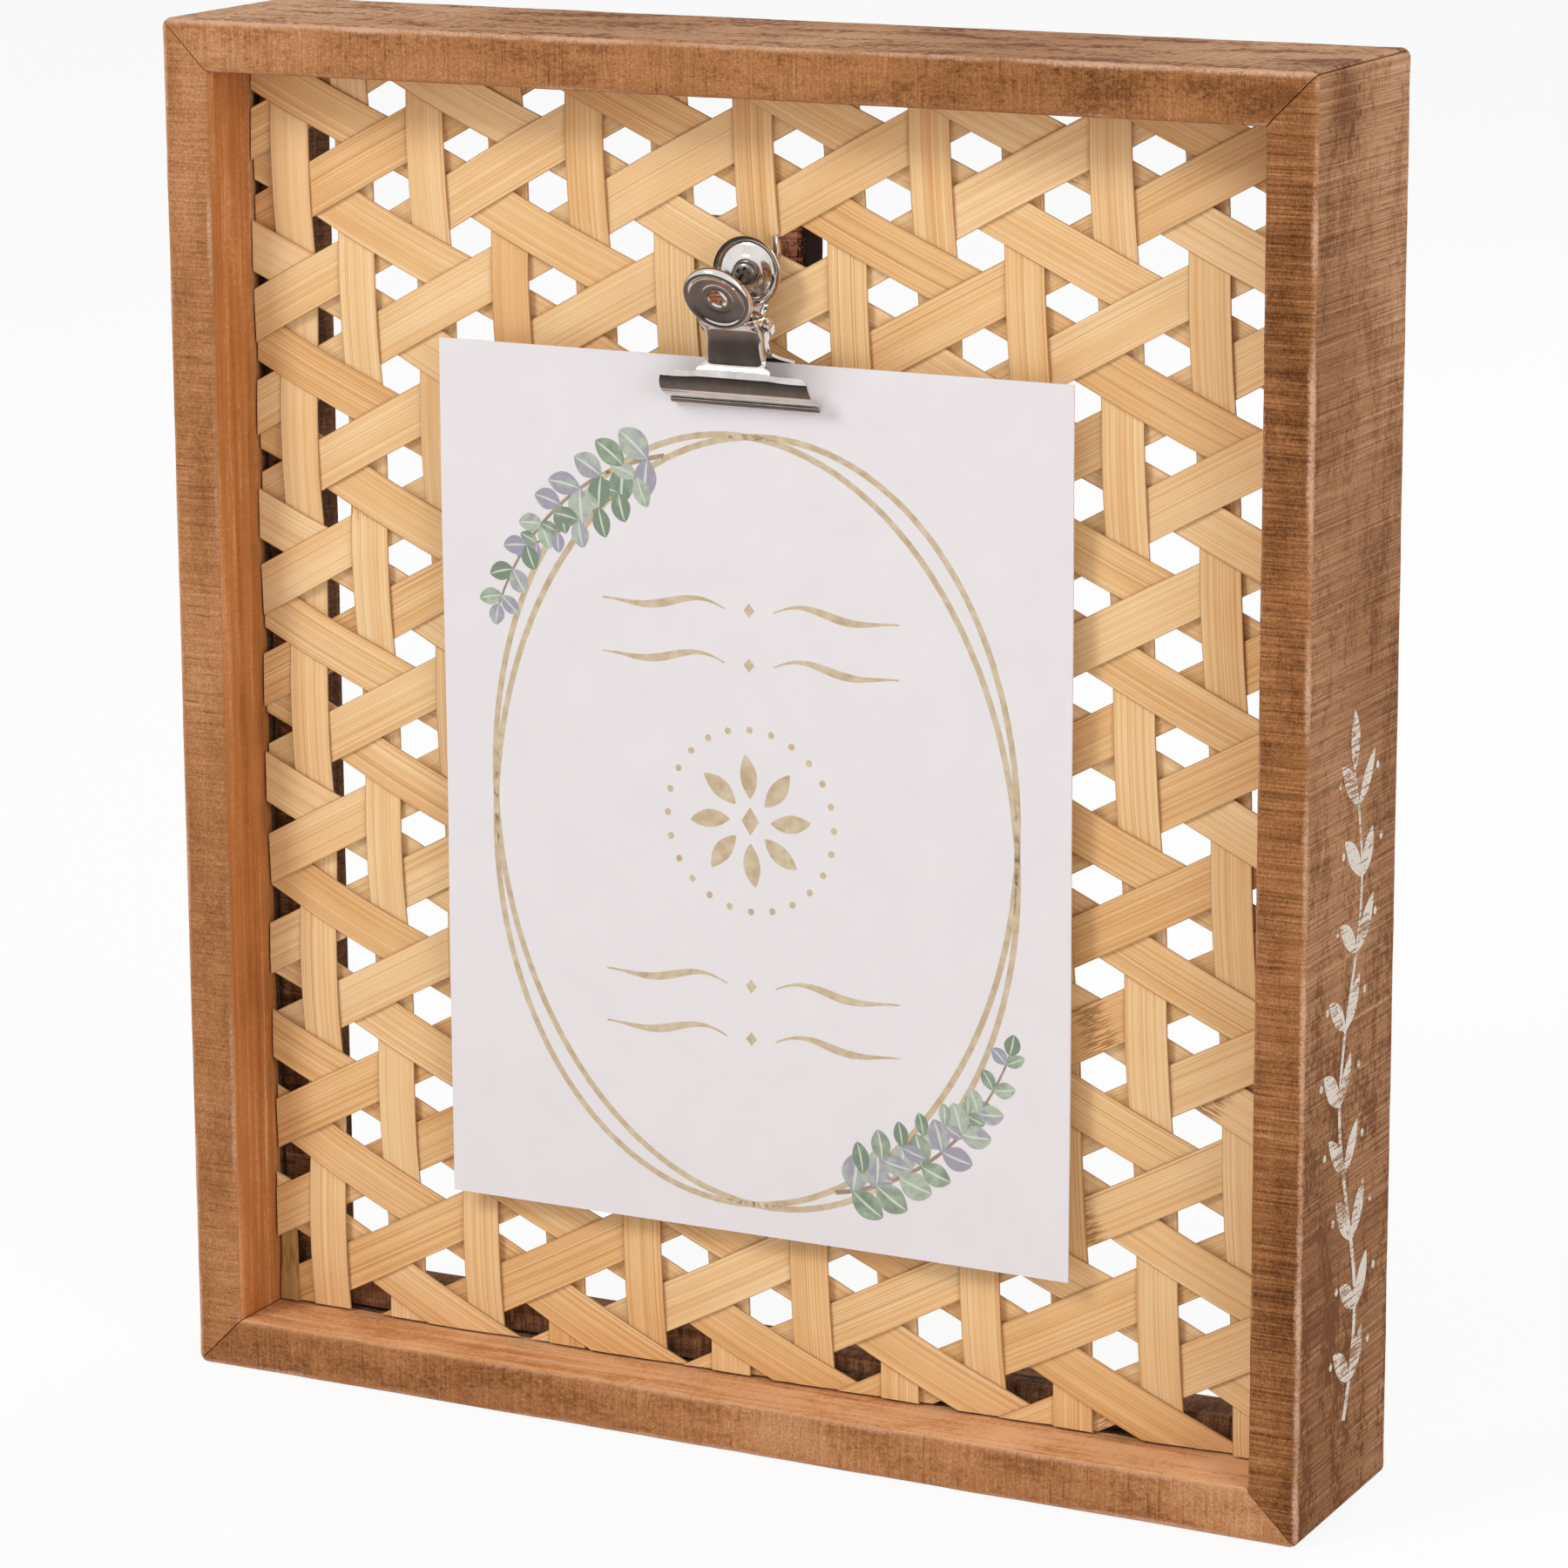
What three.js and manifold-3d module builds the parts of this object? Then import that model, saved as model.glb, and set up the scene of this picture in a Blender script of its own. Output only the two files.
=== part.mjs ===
// Wooden box picture frame with a woven bamboo panel, a bulldog clip and a clipped card.
// Millimetres, +Z up. X runs along the front, Y into the depth, and the front edges lie at the low Y side.

import * as THREE from 'three';
import { mergeVertices } from 'three/addons/utils/BufferGeometryUtils.js';
import Module from 'manifold-3d';

const wasm = await Module();
wasm.setup();

// Box of four boards
const frameWidth = 228;
const frameHeight = 260;
const frameDepth = 44;
const boardThickness = 10;
const boardEdgeRadius = 1.3;
const mitreGap = 0.2;

// General fits
const clearance = 0.3; // between a piece and what it seats on or passes through

// Battens that carry the woven panel from behind
const battenWidth = 6.2;
const battenDepth = 6;
const battenEdgeRadius = 0.6;

// Woven panel
const panelRecess = 13; // front edge of the boards to the front of the weave
const uprightWidth = 8;
const diagonalWidth = 8.8;
const strandThickness = 0.5;
const strandRise = 1.4; // how far a strand swings to each side of the middle plane
const uprightPitch = 16.65;
const rowPitch = 17.25;
const firstUprightInset = 8.9; // left wall to the first upright's middle
const firstRowDrop = 22.1; // upper wall to the first row
const rowClimb = 0.57; // each row climbs this much from one upright to the next
const leanAtLeft = 3.4; // drift of the leftmost upright from top to bottom
const leanPerUpright = 0.85; // further drift of each upright to its right
const uprightBow = 4.2; // the left and middle uprights bow to the left near the top
const edgeSqueeze = 6.5; // the stray upright at the left edge is pushed in
const shortestDiagonal = 14; // shorter corner cuttings fall out of a panel
const glueDabSize = 2.6;
const glueBand = 1.1 * Math.max(uprightPitch, rowPitch); // crossings this near a wall are glued

// Brads through the mitred corners
const bradDiameter = 1.4;
const bradLength = 24;
const bradHeadDiameter = 2.4;
const bradHeadHeight = 0.8;
const bradSink = 0.4;
const bradInset = 11; // from the front and the back edge

// Block behind the weave that takes the screw of the clip
const blockWidth = 27.6;
const blockHeight = 17;
const blockDepth = 8;
const blockShift = -5.7; // its middle lies this far to the left of the clip
const blockBelowScrew = 8.9;

// Bulldog clip
const clipShift = 2.1; // to the right of the middle
const clipDrop = 55; // upper wall to the lower edge of the lips
const clipWidth = 30;
const clipSheet = 0.6;
const clipAngle = 30.6; // degrees between its two plates
const lipGap = 0.35; // card to lip on each side
const lipHemHeight = 1;
const jawBulge = 1.75; // the belly of a jaw stands this far beyond its lip
const pivotReach = 15; // lips to pin
const frontNeckWidth = 10.2;
const neckBottom = 5.2; // lips to the foot of the neck
const neckFlare = 2.6; // added on each side where the neck meets the jaw
const neckCorner = 2.2; // radius of its upper corners
const neckWaist = 0.9; // at the pin the neck is drawn in towards the other plate
const loopDiameter = 13.4;
const loopReach = 23.4; // lips to the middle of a loop
const loopHoleDiameter = 3.8;
const loopSheet = 0.48;
const loopDish = 0.35; // the flat of a loop lies this far behind its neck
const loopBead = 0.75; // and its rolled bead stands this far in front
const earRadius = 2.2;
const pinDiameter = 1.6;
const pinHeadDiameter = 2.8;
const pinHeadHeight = 0.6;
const springWire = 0.7;
const springPitch = 1.15;
const springTurns = 7;
const springBackLeg = 4;
const springFrontLeg = 2.2;
const openAngle = 28; // how far the front plate swings

// Screw that holds the clip
const screwHeadDiameter = 4.8;
const screwHeadHeight = 1.7;
const screwDiameter = 3;
const screwLength = 14;
const screwSlotWidth = 0.7;
const screwSlotLength = 2.8;
const screwSlotDepth = 1;

// Card
const cardWidth = 127;
const cardHeight = 163;
const cardThickness = 0.4;
const cardGrip = 7.6; // how deep it sits in the jaws

// Sawtooth hanger on the back of the upper board
const hangerLength = 44;
const hangerHeight = 7.6;
const hangerSheet = 0.9;
const hangerOffset = 1.5; // the middle stands off the wood
const hangerFootLength = 7.5;
const hangerRamp = 2;
const toothPitch = 2.6;
const toothDepth = 1.6;
const toothCount = 9;
const nailDiameter = 1.3;
const nailLength = 9;
const nailHeadDiameter = 3;
const nailHeadHeight = 0.7;

// Sizes that follow from those above
const innerHalfWidth = frameWidth / 2 - boardThickness;
const innerBottom = boardThickness;
const innerTop = frameHeight - boardThickness;
const weaveHalfDepth = strandRise + strandThickness / 2;
const weaveY = panelRecess + weaveHalfDepth;
const battenY = weaveY + weaveHalfDepth + clearance;
const lipFace = cardThickness / 2 + lipGap; // card's middle to the inner face of a lip
const lipMiddle = lipFace + clipSheet / 2;
const bellyMiddle = lipMiddle + jawBulge;
const clipY = panelRecess - clearance - bellyMiddle - clipSheet / 2;
const clipZ = innerTop - clipDrop;
const pivotY = -pivotReach * Math.sin(THREE.MathUtils.degToRad(clipAngle / 2));
const pivotZ = pivotReach * Math.cos(THREE.MathUtils.degToRad(clipAngle / 2));
const neckTop = loopReach - loopDiameter / 2 + 1;
const backNeckWidth = frontNeckWidth + 2 * (clipSheet + clearance);

const colours = {
  board: new THREE.MeshStandardMaterial({ color: 0x9c6a47, roughness: 0.75, metalness: 0 }),
  batten: new THREE.MeshStandardMaterial({ color: 0x5f4130, roughness: 0.8, metalness: 0 }),
  upright: new THREE.MeshStandardMaterial({ color: 0xe0b87c, roughness: 0.55, metalness: 0 }),
  diagonal: new THREE.MeshStandardMaterial({ color: 0xd9ae70, roughness: 0.55, metalness: 0 }),
  nickel: new THREE.MeshStandardMaterial({ color: 0xc9c6c2, roughness: 0.15, metalness: 1 }),
  steel: new THREE.MeshStandardMaterial({ color: 0x77726d, roughness: 0.35, metalness: 1 }),
  card: new THREE.MeshStandardMaterial({ color: 0xeeebea, roughness: 0.85, metalness: 0 }),
};

const group = new THREE.Group();

// Turns a three.js geometry into a solid for joining and cutting
function solid(geometry) {
  const bare = geometry.clone();
  bare.deleteAttribute('normal');
  bare.deleteAttribute('uv');
  const merged = mergeVertices(bare, 1e-4);
  return new wasm.Manifold(new wasm.Mesh({
    numProp: 3,
    vertProperties: Float32Array.from(merged.attributes.position.array),
    triVerts: Uint32Array.from(merged.index.array),
  }));
}

// Turns a solid back into a three.js geometry
function geometryOf(body) {
  const mesh = body.getMesh();
  const positions = new Float32Array(mesh.numVert * 3);
  for (let i = 0; i < mesh.numVert; i += 1) {
    for (let axis = 0; axis < 3; axis += 1) {
      positions[3 * i + axis] = mesh.vertProperties[mesh.numProp * i + axis];
    }
  }
  const geometry = new THREE.BufferGeometry();
  geometry.setAttribute('position', new THREE.BufferAttribute(positions, 3));
  geometry.setIndex(new THREE.BufferAttribute(Uint32Array.from(mesh.triVerts), 1));
  geometry.computeVertexNormals();
  return geometry;
}

function joined(...geometries) {
  return geometries.map(solid).reduce((whole, piece) => whole.add(piece));
}

function addPiece(name, shape, material, parent = group) {
  const geometry = shape.isBufferGeometry ? shape : geometryOf(shape);
  const mesh = new THREE.Mesh(geometry, material);
  mesh.name = name;
  parent.add(mesh);
  return mesh;
}

// Round piece turned about an axis through the origin, from pairs of a radius and a place on the axis
function turned(axis, profile, sides) {
  const points = profile.map(([radius, place]) => new THREE.Vector2(radius, place));
  const geometry = new THREE.LatheGeometry(points, sides);
  return axis === 'z' ? geometry.rotateX(Math.PI / 2) : geometry;
}

// Outline with rounded corners, its lower left corner at x, y
function roundedRectangle(x, y, width, height, radius) {
  const shape = new THREE.Shape();
  shape.absarc(x + width - radius, y + height - radius, radius, 0, Math.PI / 2);
  shape.absarc(x + radius, y + height - radius, radius, Math.PI / 2, Math.PI);
  shape.absarc(x + radius, y + radius, radius, Math.PI, 1.5 * Math.PI);
  shape.absarc(x + width - radius, y + radius, radius, 1.5 * Math.PI, 2 * Math.PI);
  return shape;
}

function extruded(shape, depth, curveSegments = 1) {
  return new THREE.ExtrudeGeometry(shape, { depth, bevelEnabled: false, curveSegments });
}

// Extrusion along X of an outline drawn in Y and Z
function extrudedAlongX(shape, fromX, toX, curveSegments = 1) {
  const axes = new THREE.Matrix4().makeBasis(
    new THREE.Vector3(0, 1, 0), new THREE.Vector3(0, 0, 1), new THREE.Vector3(1, 0, 0));
  return extruded(shape, toX - fromX, curveSegments).applyMatrix4(axes).translate(fromX, 0, 0);
}

// Extrusion along Y of an outline drawn in X and Z
function extrudedAlongY(shape, fromY, toY, curveSegments = 1) {
  return extruded(shape, toY - fromY, curveSegments).rotateX(Math.PI / 2).translate(0, toY, 0);
}

function polygon(points) {
  return new THREE.Shape(points.map(([a, b]) => new THREE.Vector2(a, b)));
}

// Cylinder along one axis, from one place on it to another
function rod(axis, diameter, from, to, across, sides = 10) {
  const geometry = new THREE.CylinderGeometry(diameter / 2, diameter / 2, to - from, sides);
  const middle = (from + to) / 2;
  if (axis === 'x') return geometry.rotateZ(-Math.PI / 2).translate(middle, across[0], across[1]);
  if (axis === 'y') return geometry.translate(across[0], middle, across[1]);
  return geometry.rotateX(Math.PI / 2).translate(across[0], across[1], middle);
}

function box(fromX, toX, fromY, toY, fromZ, toZ) {
  return new THREE.BoxGeometry(toX - fromX, toY - fromY, toZ - fromZ)
    .translate((fromX + toX) / 2, (fromY + toY) / 2, (fromZ + toZ) / 2);
}

// A board lies with its outer face at z = 0, its length along X about the middle and its front edge at y = 0
function mitredBoard(length) {
  const half = length / 2;
  const slack = 5;
  const trim = mitreGap / Math.SQRT2;
  let body = solid(extrudedAlongX(
    roundedRectangle(0, 0, frameDepth, boardThickness, boardEdgeRadius), -half, half, 2));
  for (const side of [-1, 1]) {
    const wedge = polygon([
      [side * (half + slack - trim), -slack],
      [side * (half + slack), -slack],
      [side * (half + slack), boardThickness + slack],
      [side * (half - boardThickness - slack - trim), boardThickness + slack],
    ]);
    body = body.subtract(solid(extrudedAlongY(wedge, -slack, frameDepth + slack)));
  }
  return body;
}

const bradDepths = [bradInset, frameDepth - bradInset];

function bradHole(axis, from, to, across) {
  return solid(rod(axis, bradDiameter + 2 * clearance, from, to, across));
}

// The upper and lower boards take the brads across their thickness
function acrossBoard() {
  let body = mitredBoard(frameWidth);
  for (const side of [-1, 1]) {
    for (const depth of bradDepths) {
      const across = [side * (frameWidth - boardThickness) / 2, depth];
      body = body.subtract(bradHole('z', -1, boardThickness, across));
      body = body.subtract(solid(rod('z', bradHeadDiameter + 2 * clearance, -1,
        bradSink + bradHeadHeight + clearance, across)));
    }
  }
  return body;
}

// The side boards take the same brads into their ends
function uprightBoard() {
  let body = mitredBoard(frameHeight);
  for (const side of [-1, 1]) {
    for (const depth of bradDepths) {
      const ends = [side * frameHeight / 2, side * (frameHeight / 2 - bradLength - clearance - bradSink)];
      body = body.subtract(bradHole('x', Math.min(...ends), Math.max(...ends), [depth, boardThickness / 2]));
    }
  }
  return body;
}

function nailHoles() {
  const middle = (hangerLength - hangerFootLength) / 2;
  const depth = frameDepth - nailLength - clearance;
  return [-1, 1].map((side) => solid(rod('y', nailDiameter + 2 * clearance, depth, frameDepth + 1,
    [side * middle, boardThickness / 2])));
}

function addBoards() {
  addPiece('bottom_board', acrossBoard(), colours.board);
  const topSolid = nailHoles().reduce((body, hole) => body.subtract(hole), acrossBoard());
  const top = addPiece('top_board', topSolid, colours.board);
  const left = addPiece('left_board', uprightBoard(), colours.board);
  const right = addPiece('right_board', uprightBoard(), colours.board);
  top.rotation.y = Math.PI;
  top.position.set(0, 0, frameHeight);
  left.rotation.y = Math.PI / 2;
  left.position.set(-frameWidth / 2, 0, frameHeight / 2);
  right.rotation.y = -Math.PI / 2;
  right.position.set(frameWidth / 2, 0, frameHeight / 2);
}

// A nail stands on its point, with its head at the upper end
function nailProfile(diameter, length, headDiameter, headHeight) {
  return [
    [0, 0], [diameter / 2, 2 * diameter], [diameter / 2, length - headHeight],
    [headDiameter / 2, length - headHeight], [headDiameter / 2, length], [0, length],
  ];
}

function bradSolid() {
  return solid(turned('z', nailProfile(bradDiameter, bradLength, bradHeadDiameter, bradHeadHeight), 8));
}

function addBrads() {
  let number = 1;
  for (const end of ['top', 'bottom']) {
    for (const side of [-1, 1]) {
      for (const depth of bradDepths) {
        const mesh = addPiece(`corner_brad_${number}`, bradSolid(), colours.steel);
        const x = side * (frameWidth - boardThickness) / 2;
        if (end === 'top') {
          mesh.position.set(x, depth, frameHeight - bradSink - bradLength);
        } else {
          mesh.rotation.x = Math.PI;
          mesh.position.set(x, depth, bradSink + bradLength);
        }
        number += 1;
      }
    }
  }
}

function addBattens() {
  const reachX = innerHalfWidth - clearance;
  const bottom = innerBottom + clearance;
  const top = innerTop - clearance;
  const lying = extrudedAlongX(
    roundedRectangle(battenY, bottom, battenDepth, battenWidth, battenEdgeRadius), -reachX, reachX);
  const standingFrom = bottom + battenWidth + clearance;
  const standing = (x) => extruded(
    roundedRectangle(x, battenY, battenWidth, battenDepth, battenEdgeRadius),
    top - standingFrom).translate(0, 0, standingFrom);
  addPiece('bottom_batten', lying, colours.batten);
  addPiece('left_batten', standing(-reachX), colours.batten);
  addPiece('right_batten', standing(reachX - battenWidth), colours.batten);
}

// Place in the panel of a point of the lattice: u counts uprights from the left, v counts rows upwards
const panelRows = (innerTop - innerBottom) / rowPitch;
const uprightCount = Math.floor(
  (2 * innerHalfWidth - firstUprightInset - uprightWidth / 2) / uprightPitch) + 1;

function latticePoint(u, v) {
  const fall = -v / panelRows;
  const share = THREE.MathUtils.clamp(u / (uprightCount - 1), 0, 1);
  const drift = (leanAtLeft + leanPerUpright * u) * fall;
  const bow = uprightBow * Math.sin(Math.PI * Math.sqrt(share)) * (1 - fall);
  const squeeze = edgeSqueeze * Math.max(0, -u) * fall;
  const x = firstUprightInset - innerHalfWidth + uprightPitch * u + drift - bow + squeeze;
  const z = innerTop - firstRowDrop + rowClimb * u + rowPitch * v;
  return new THREE.Vector2(x, z);
}

// Each strand passes over three others and then under three. Along a strand one such round is 3 units
// of u or v: it lies flat in front for half a unit, slants back for one unit, lies flat behind for half
// a unit, and slants forward again.
const unitsPerRound = 3;
const flatUnits = 0.25; // to each side of the middle of a flat

function strandLevel(place, overCentre) {
  const turns = (place - overCentre) / unitsPerRound;
  const fromOver = Math.abs(turns - Math.round(turns)) * unitsPerRound;
  const slantUnits = unitsPerRound / 2 - 2 * flatUnits;
  const slant = THREE.MathUtils.clamp((fromOver - flatUnits) / slantUnits, 0, 1);
  return strandRise * (1 - 2 * slant);
}

// Places along a strand where it bends, with its two ends
function strandStations(from, to, overCentre) {
  const places = [from, to];
  const first = Math.floor((from - overCentre) / unitsPerRound) - 1;
  const last = Math.ceil((to - overCentre) / unitsPerRound) + 1;
  for (let n = first; n <= last; n += 1) {
    const over = overCentre + n * unitsPerRound;
    const under = over + unitsPerRound / 2;
    places.push(over - flatUnits, over + flatUnits, under - flatUnits, under + flatUnits);
  }
  return places.filter((p) => p >= from && p <= to).sort((a, b) => a - b)
    .filter((p, i, all) => i === 0 || p - all[i - 1] > 0.02);
}

// A flat strip through the given points, each with its level in front of the middle plane
function stripGeometry(points, width) {
  const count = points.length;
  const positions = [];
  points.forEach((point, i) => {
    const before = points[Math.max(0, i - 1)].place;
    const after = points[Math.min(count - 1, i + 1)].place;
    const along = after.clone().sub(before).normalize();
    const half = width / 2;
    for (const [side, face] of [[-1, -1], [1, -1], [1, 1], [-1, 1]]) {
      positions.push(
        point.place.x - along.y * side * half,
        weaveY - point.level + face * strandThickness / 2,
        point.place.y + along.x * side * half);
    }
  });
  const index = [];
  for (let i = 0; i + 1 < count; i += 1) {
    for (let k = 0; k < 4; k += 1) {
      const a = 4 * i + k;
      const b = 4 * i + (k + 1) % 4;
      index.push(a, a + 4, b, b, a + 4, b + 4);
    }
  }
  const end = 4 * (count - 1);
  index.push(0, 1, 2, 0, 2, 3, end, end + 2, end + 1, end, end + 3, end + 2);
  const geometry = new THREE.BufferGeometry();
  geometry.setAttribute('position', new THREE.Float32BufferAttribute(positions, 3));
  geometry.setIndex(index);
  return geometry;
}

// The three families of strands: width, line through the lattice and a place where they lie in front
const families = {
  upright: {
    width: uprightWidth,
    at: (i, v) => latticePoint(i, v),
    overCentre: (i) => -1.5 * i + 0.25,
  },
  rising: {
    width: diagonalWidth,
    at: (j, u) => latticePoint(u, u / 2 + j - 0.25),
    overCentre: (j) => 1 + j,
  },
  falling: {
    width: diagonalWidth,
    at: (k, u) => latticePoint(u, -u / 2 + k + 0.25),
    overCentre: (k) => 2 * k - 1.5,
  },
};

function insidePanel(place, margin) {
  return Math.abs(place.x) < innerHalfWidth - margin
    && place.y > innerBottom + margin && place.y < innerTop - margin;
}

// First and last place where a strand's middle line is inside the walls
function strandRange(family, number, low, high) {
  const step = 0.02;
  let from = null;
  let to = null;
  for (let p = low; p <= high; p += step) {
    if (insidePanel(family.at(number, p), 0)) {
      if (from === null) from = p;
      to = p;
    }
  }
  return from === null ? null : [from, to];
}

function strandSolid(family, number, range) {
  const overshoot = 0.6;
  const centre = family.overCentre(number);
  const stations = strandStations(range[0] - overshoot, range[1] + overshoot, centre);
  const points = stations.map((p) => ({ place: family.at(number, p), level: strandLevel(p, centre) }));
  return solid(stripGeometry(points, family.width));
}

const panelBox = solid(box(
  clearance - innerHalfWidth, innerHalfWidth - clearance, 0, frameDepth,
  innerBottom + clearance, innerTop - clearance));
const screwX = clipShift;
const screwZ = clipZ + loopReach;
const screwPassage = solid(rod('y', screwDiameter + 2 * clearance, 0, frameDepth, [screwX, screwZ]));

function addUprights() {
  for (let i = -1; i < uprightCount; i += 1) {
    const range = [-panelRows - 1.5, 2.5];
    const body = strandSolid(families.upright, i, range).intersect(panelBox).subtract(screwPassage);
    addPiece(`upright_strand_${String(i + 2).padStart(2, '0')}`, body, colours.upright);
  }
}

// The diagonals that are long enough to stay in the panel, each with the stretch that lies inside the walls
function diagonalStrands(family) {
  const strands = new Map();
  const reach = uprightCount + panelRows;
  for (let number = Math.floor(-reach); number <= reach; number += 1) {
    const range = strandRange(family, number, -1.2, uprightCount + 1);
    if (range === null) continue;
    const length = family.at(number, range[0]).distanceTo(family.at(number, range[1]));
    if (length >= shortestDiagonal) strands.set(number, range);
  }
  return strands;
}

function glueDab(rising, falling, column) {
  const u = column + 0.5;
  const place = families.rising.at(rising, u);
  const levels = [
    strandLevel(u, families.rising.overCentre(rising)),
    strandLevel(u, families.falling.overCentre(falling)),
  ];
  const half = glueDabSize / 2;
  return solid(box(place.x - half, place.x + half,
    weaveY - Math.max(...levels), weaveY - Math.min(...levels), place.y - half, place.y + half));
}

// The crossings next to the walls are glued, which holds every diagonal at both its ends
function isGlued(place) {
  return insidePanel(place, glueDabSize / 2) && !insidePanel(place, glueBand);
}

function addDiagonals() {
  const risings = diagonalStrands(families.rising);
  const fallings = diagonalStrands(families.falling);
  const pieces = [];
  for (const [number, range] of risings) pieces.push(strandSolid(families.rising, number, range));
  for (const [number, range] of fallings) pieces.push(strandSolid(families.falling, number, range));
  for (const [rising] of risings) {
    for (let column = -1; column < uprightCount; column += 1) {
      const falling = rising + column;
      const place = families.rising.at(rising, column + 0.5);
      if (fallings.has(falling) && isGlued(place)) pieces.push(glueDab(rising, falling, column));
    }
  }
  const lattice = wasm.Manifold.union(pieces).intersect(panelBox).subtract(screwPassage);
  addPiece('diagonal_strands', lattice, colours.diagonal);
}

function addBlock() {
  const x = clipShift + blockShift;
  const shape = roundedRectangle(
    x - blockWidth / 2, screwZ - blockBelowScrew, blockWidth, blockHeight, battenEdgeRadius);
  const body = solid(extrudedAlongY(shape, battenY, battenY + blockDepth)).subtract(screwPassage);
  addPiece('clip_block', body, colours.batten);
}

// Sheet of even thickness along a middle line, as an outline
function sheetOutline(middle, thickness) {
  const sides = [[], []];
  middle.forEach((point, i) => {
    const before = middle[Math.max(0, i - 1)];
    const after = middle[Math.min(middle.length - 1, i + 1)];
    const along = after.clone().sub(before).normalize();
    const offset = new THREE.Vector2(-along.y, along.x).multiplyScalar(thickness / 2);
    sides[0].push(point.clone().add(offset));
    sides[1].unshift(point.clone().sub(offset));
  });
  return [...sides[0], ...sides[1]];
}

// A plate of the clip is drawn with its lips at the origin and its length along Z.
// The outward side is +Y for the back plate and -Y for the front plate.
function plateLine(points, outward, steps) {
  const curve = new THREE.SplineCurve(points.map(([z, n]) => new THREE.Vector2(outward * n, z)));
  return curve.getPoints(steps);
}

// Jaw from the lips over the belly to the shoulder, which turns in above the card
function jawSolid(outward) {
  const line = plateLine([
    [0, lipMiddle], [1, lipMiddle], [2.1, lipMiddle + 0.8], [3.2, bellyMiddle - 0.1],
    [4.3, bellyMiddle], [5.4, bellyMiddle - 0.4], [6.1, bellyMiddle - 1.1],
    [6.3, bellyMiddle - 1.6],
  ], outward, 14);
  const outline = new THREE.Shape(sheetOutline(line, clipSheet));
  const hemFrom = outward > 0 ? lipMiddle : -lipMiddle - clipSheet;
  const hem = roundedRectangle(hemFrom, 0, clipSheet, lipHemHeight, clipSheet / 3);
  return joined(
    extrudedAlongX(outline, -clipWidth / 2, clipWidth / 2),
    extrudedAlongX(hem, -clipWidth / 2, clipWidth / 2));
}

// Outline of a neck from the front: it flares into the jaw and has rounded upper corners
function neckOutline(half) {
  const flareEnd = neckBottom + 0.9;
  const outline = new THREE.Shape();
  outline.moveTo(-half - neckFlare, neckBottom - 1);
  outline.lineTo(half + neckFlare, neckBottom - 1);
  outline.lineTo(half + neckFlare, flareEnd);
  outline.quadraticCurveTo(half, flareEnd, half, flareEnd + neckFlare);
  outline.lineTo(half, neckTop - neckCorner);
  outline.quadraticCurveTo(half, neckTop, half - neckCorner, neckTop);
  outline.lineTo(neckCorner - half, neckTop);
  outline.quadraticCurveTo(-half, neckTop, -half, neckTop - neckCorner);
  outline.lineTo(-half, flareEnd + neckFlare);
  outline.quadraticCurveTo(-half, flareEnd, -half - neckFlare, flareEnd);
  return outline;
}

function neckSolid(outward, width) {
  const line = plateLine([
    [neckBottom, bellyMiddle - 0.3], [neckBottom + 0.9, bellyMiddle - 0.9],
    [neckBottom + 2.6, 0.9], [pivotZ - 2, -0.3], [pivotZ, -neckWaist], [pivotZ + 1.2, -neckWaist],
    [neckTop - 0.9, 0.5 - neckWaist], [neckTop, 0.3],
  ], outward, 14);
  const sheet = new THREE.Shape(sheetOutline(line, clipSheet));
  const reach = 3 * bellyMiddle;
  return solid(extrudedAlongX(sheet, -clipWidth / 2, clipWidth / 2))
    .intersect(solid(extrudedAlongY(neckOutline(width / 2), -reach, reach, 4)));
}

// Side flange of the neck with the ear that the pin passes through
function flangeSolid(outward, x) {
  const bottom = neckBottom + 2.6;
  const top = neckTop - 0.9;
  const outer = [
    [bottom, 0.9], [pivotZ - 2, -0.3], [pivotZ, -neckWaist], [pivotZ + 1.2, -neckWaist],
    [top, 0.5 - neckWaist],
  ];
  const inner = [
    [top, -0.6 - neckWaist], [pivotZ + earRadius, -1.8 - neckWaist], [pivotZ + 0.8 * earRadius, pivotY],
    [pivotZ - 0.8 * earRadius, pivotY], [pivotZ - earRadius - 1, -1.2 - neckWaist], [bottom, 0.4],
  ];
  const side = polygon([...outer, ...inner].map(([height, out]) => [outward * out, height]));
  const from = x - clipSheet / 2;
  const ear = rod('x', 2 * earRadius, from, from + clipSheet, [outward * pivotY, pivotZ], 16);
  return joined(extrudedAlongX(side, from, from + clipSheet), ear);
}

// Pressed finger loop: a flat with a hole, a step and a rolled bead
function loopSolid(outward) {
  const rim = loopDiameter / 2;
  const line = [
    [loopHoleDiameter / 2, -loopDish], [rim - 2.4, -loopDish], [rim - 1.7, 0.1], [rim - 1, loopBead],
    [rim - 0.4, loopBead - 0.3], [rim - 0.2, loopBead - 0.9],
  ].map(([radius, out]) => new THREE.Vector2(radius, out));
  const outline = sheetOutline(line, loopSheet).map((point) => [point.x, point.y]);
  const loop = turned('y', [...outline, outline[0]].reverse(), 28);
  return solid(loop.rotateX(outward > 0 ? 0 : Math.PI).translate(0, 0, loopReach));
}

function clipPlate(outward, neckWidth) {
  const flangeX = (neckWidth - clipSheet) / 2;
  return jawSolid(outward)
    .add(neckSolid(outward, neckWidth))
    .add(flangeSolid(outward, -flangeX))
    .add(flangeSolid(outward, flangeX))
    .add(loopSolid(outward))
    .subtract(solid(rod('x', pinDiameter + 2 * clearance, -clipWidth, clipWidth,
      [outward * pivotY, pivotZ])));
}

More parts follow.
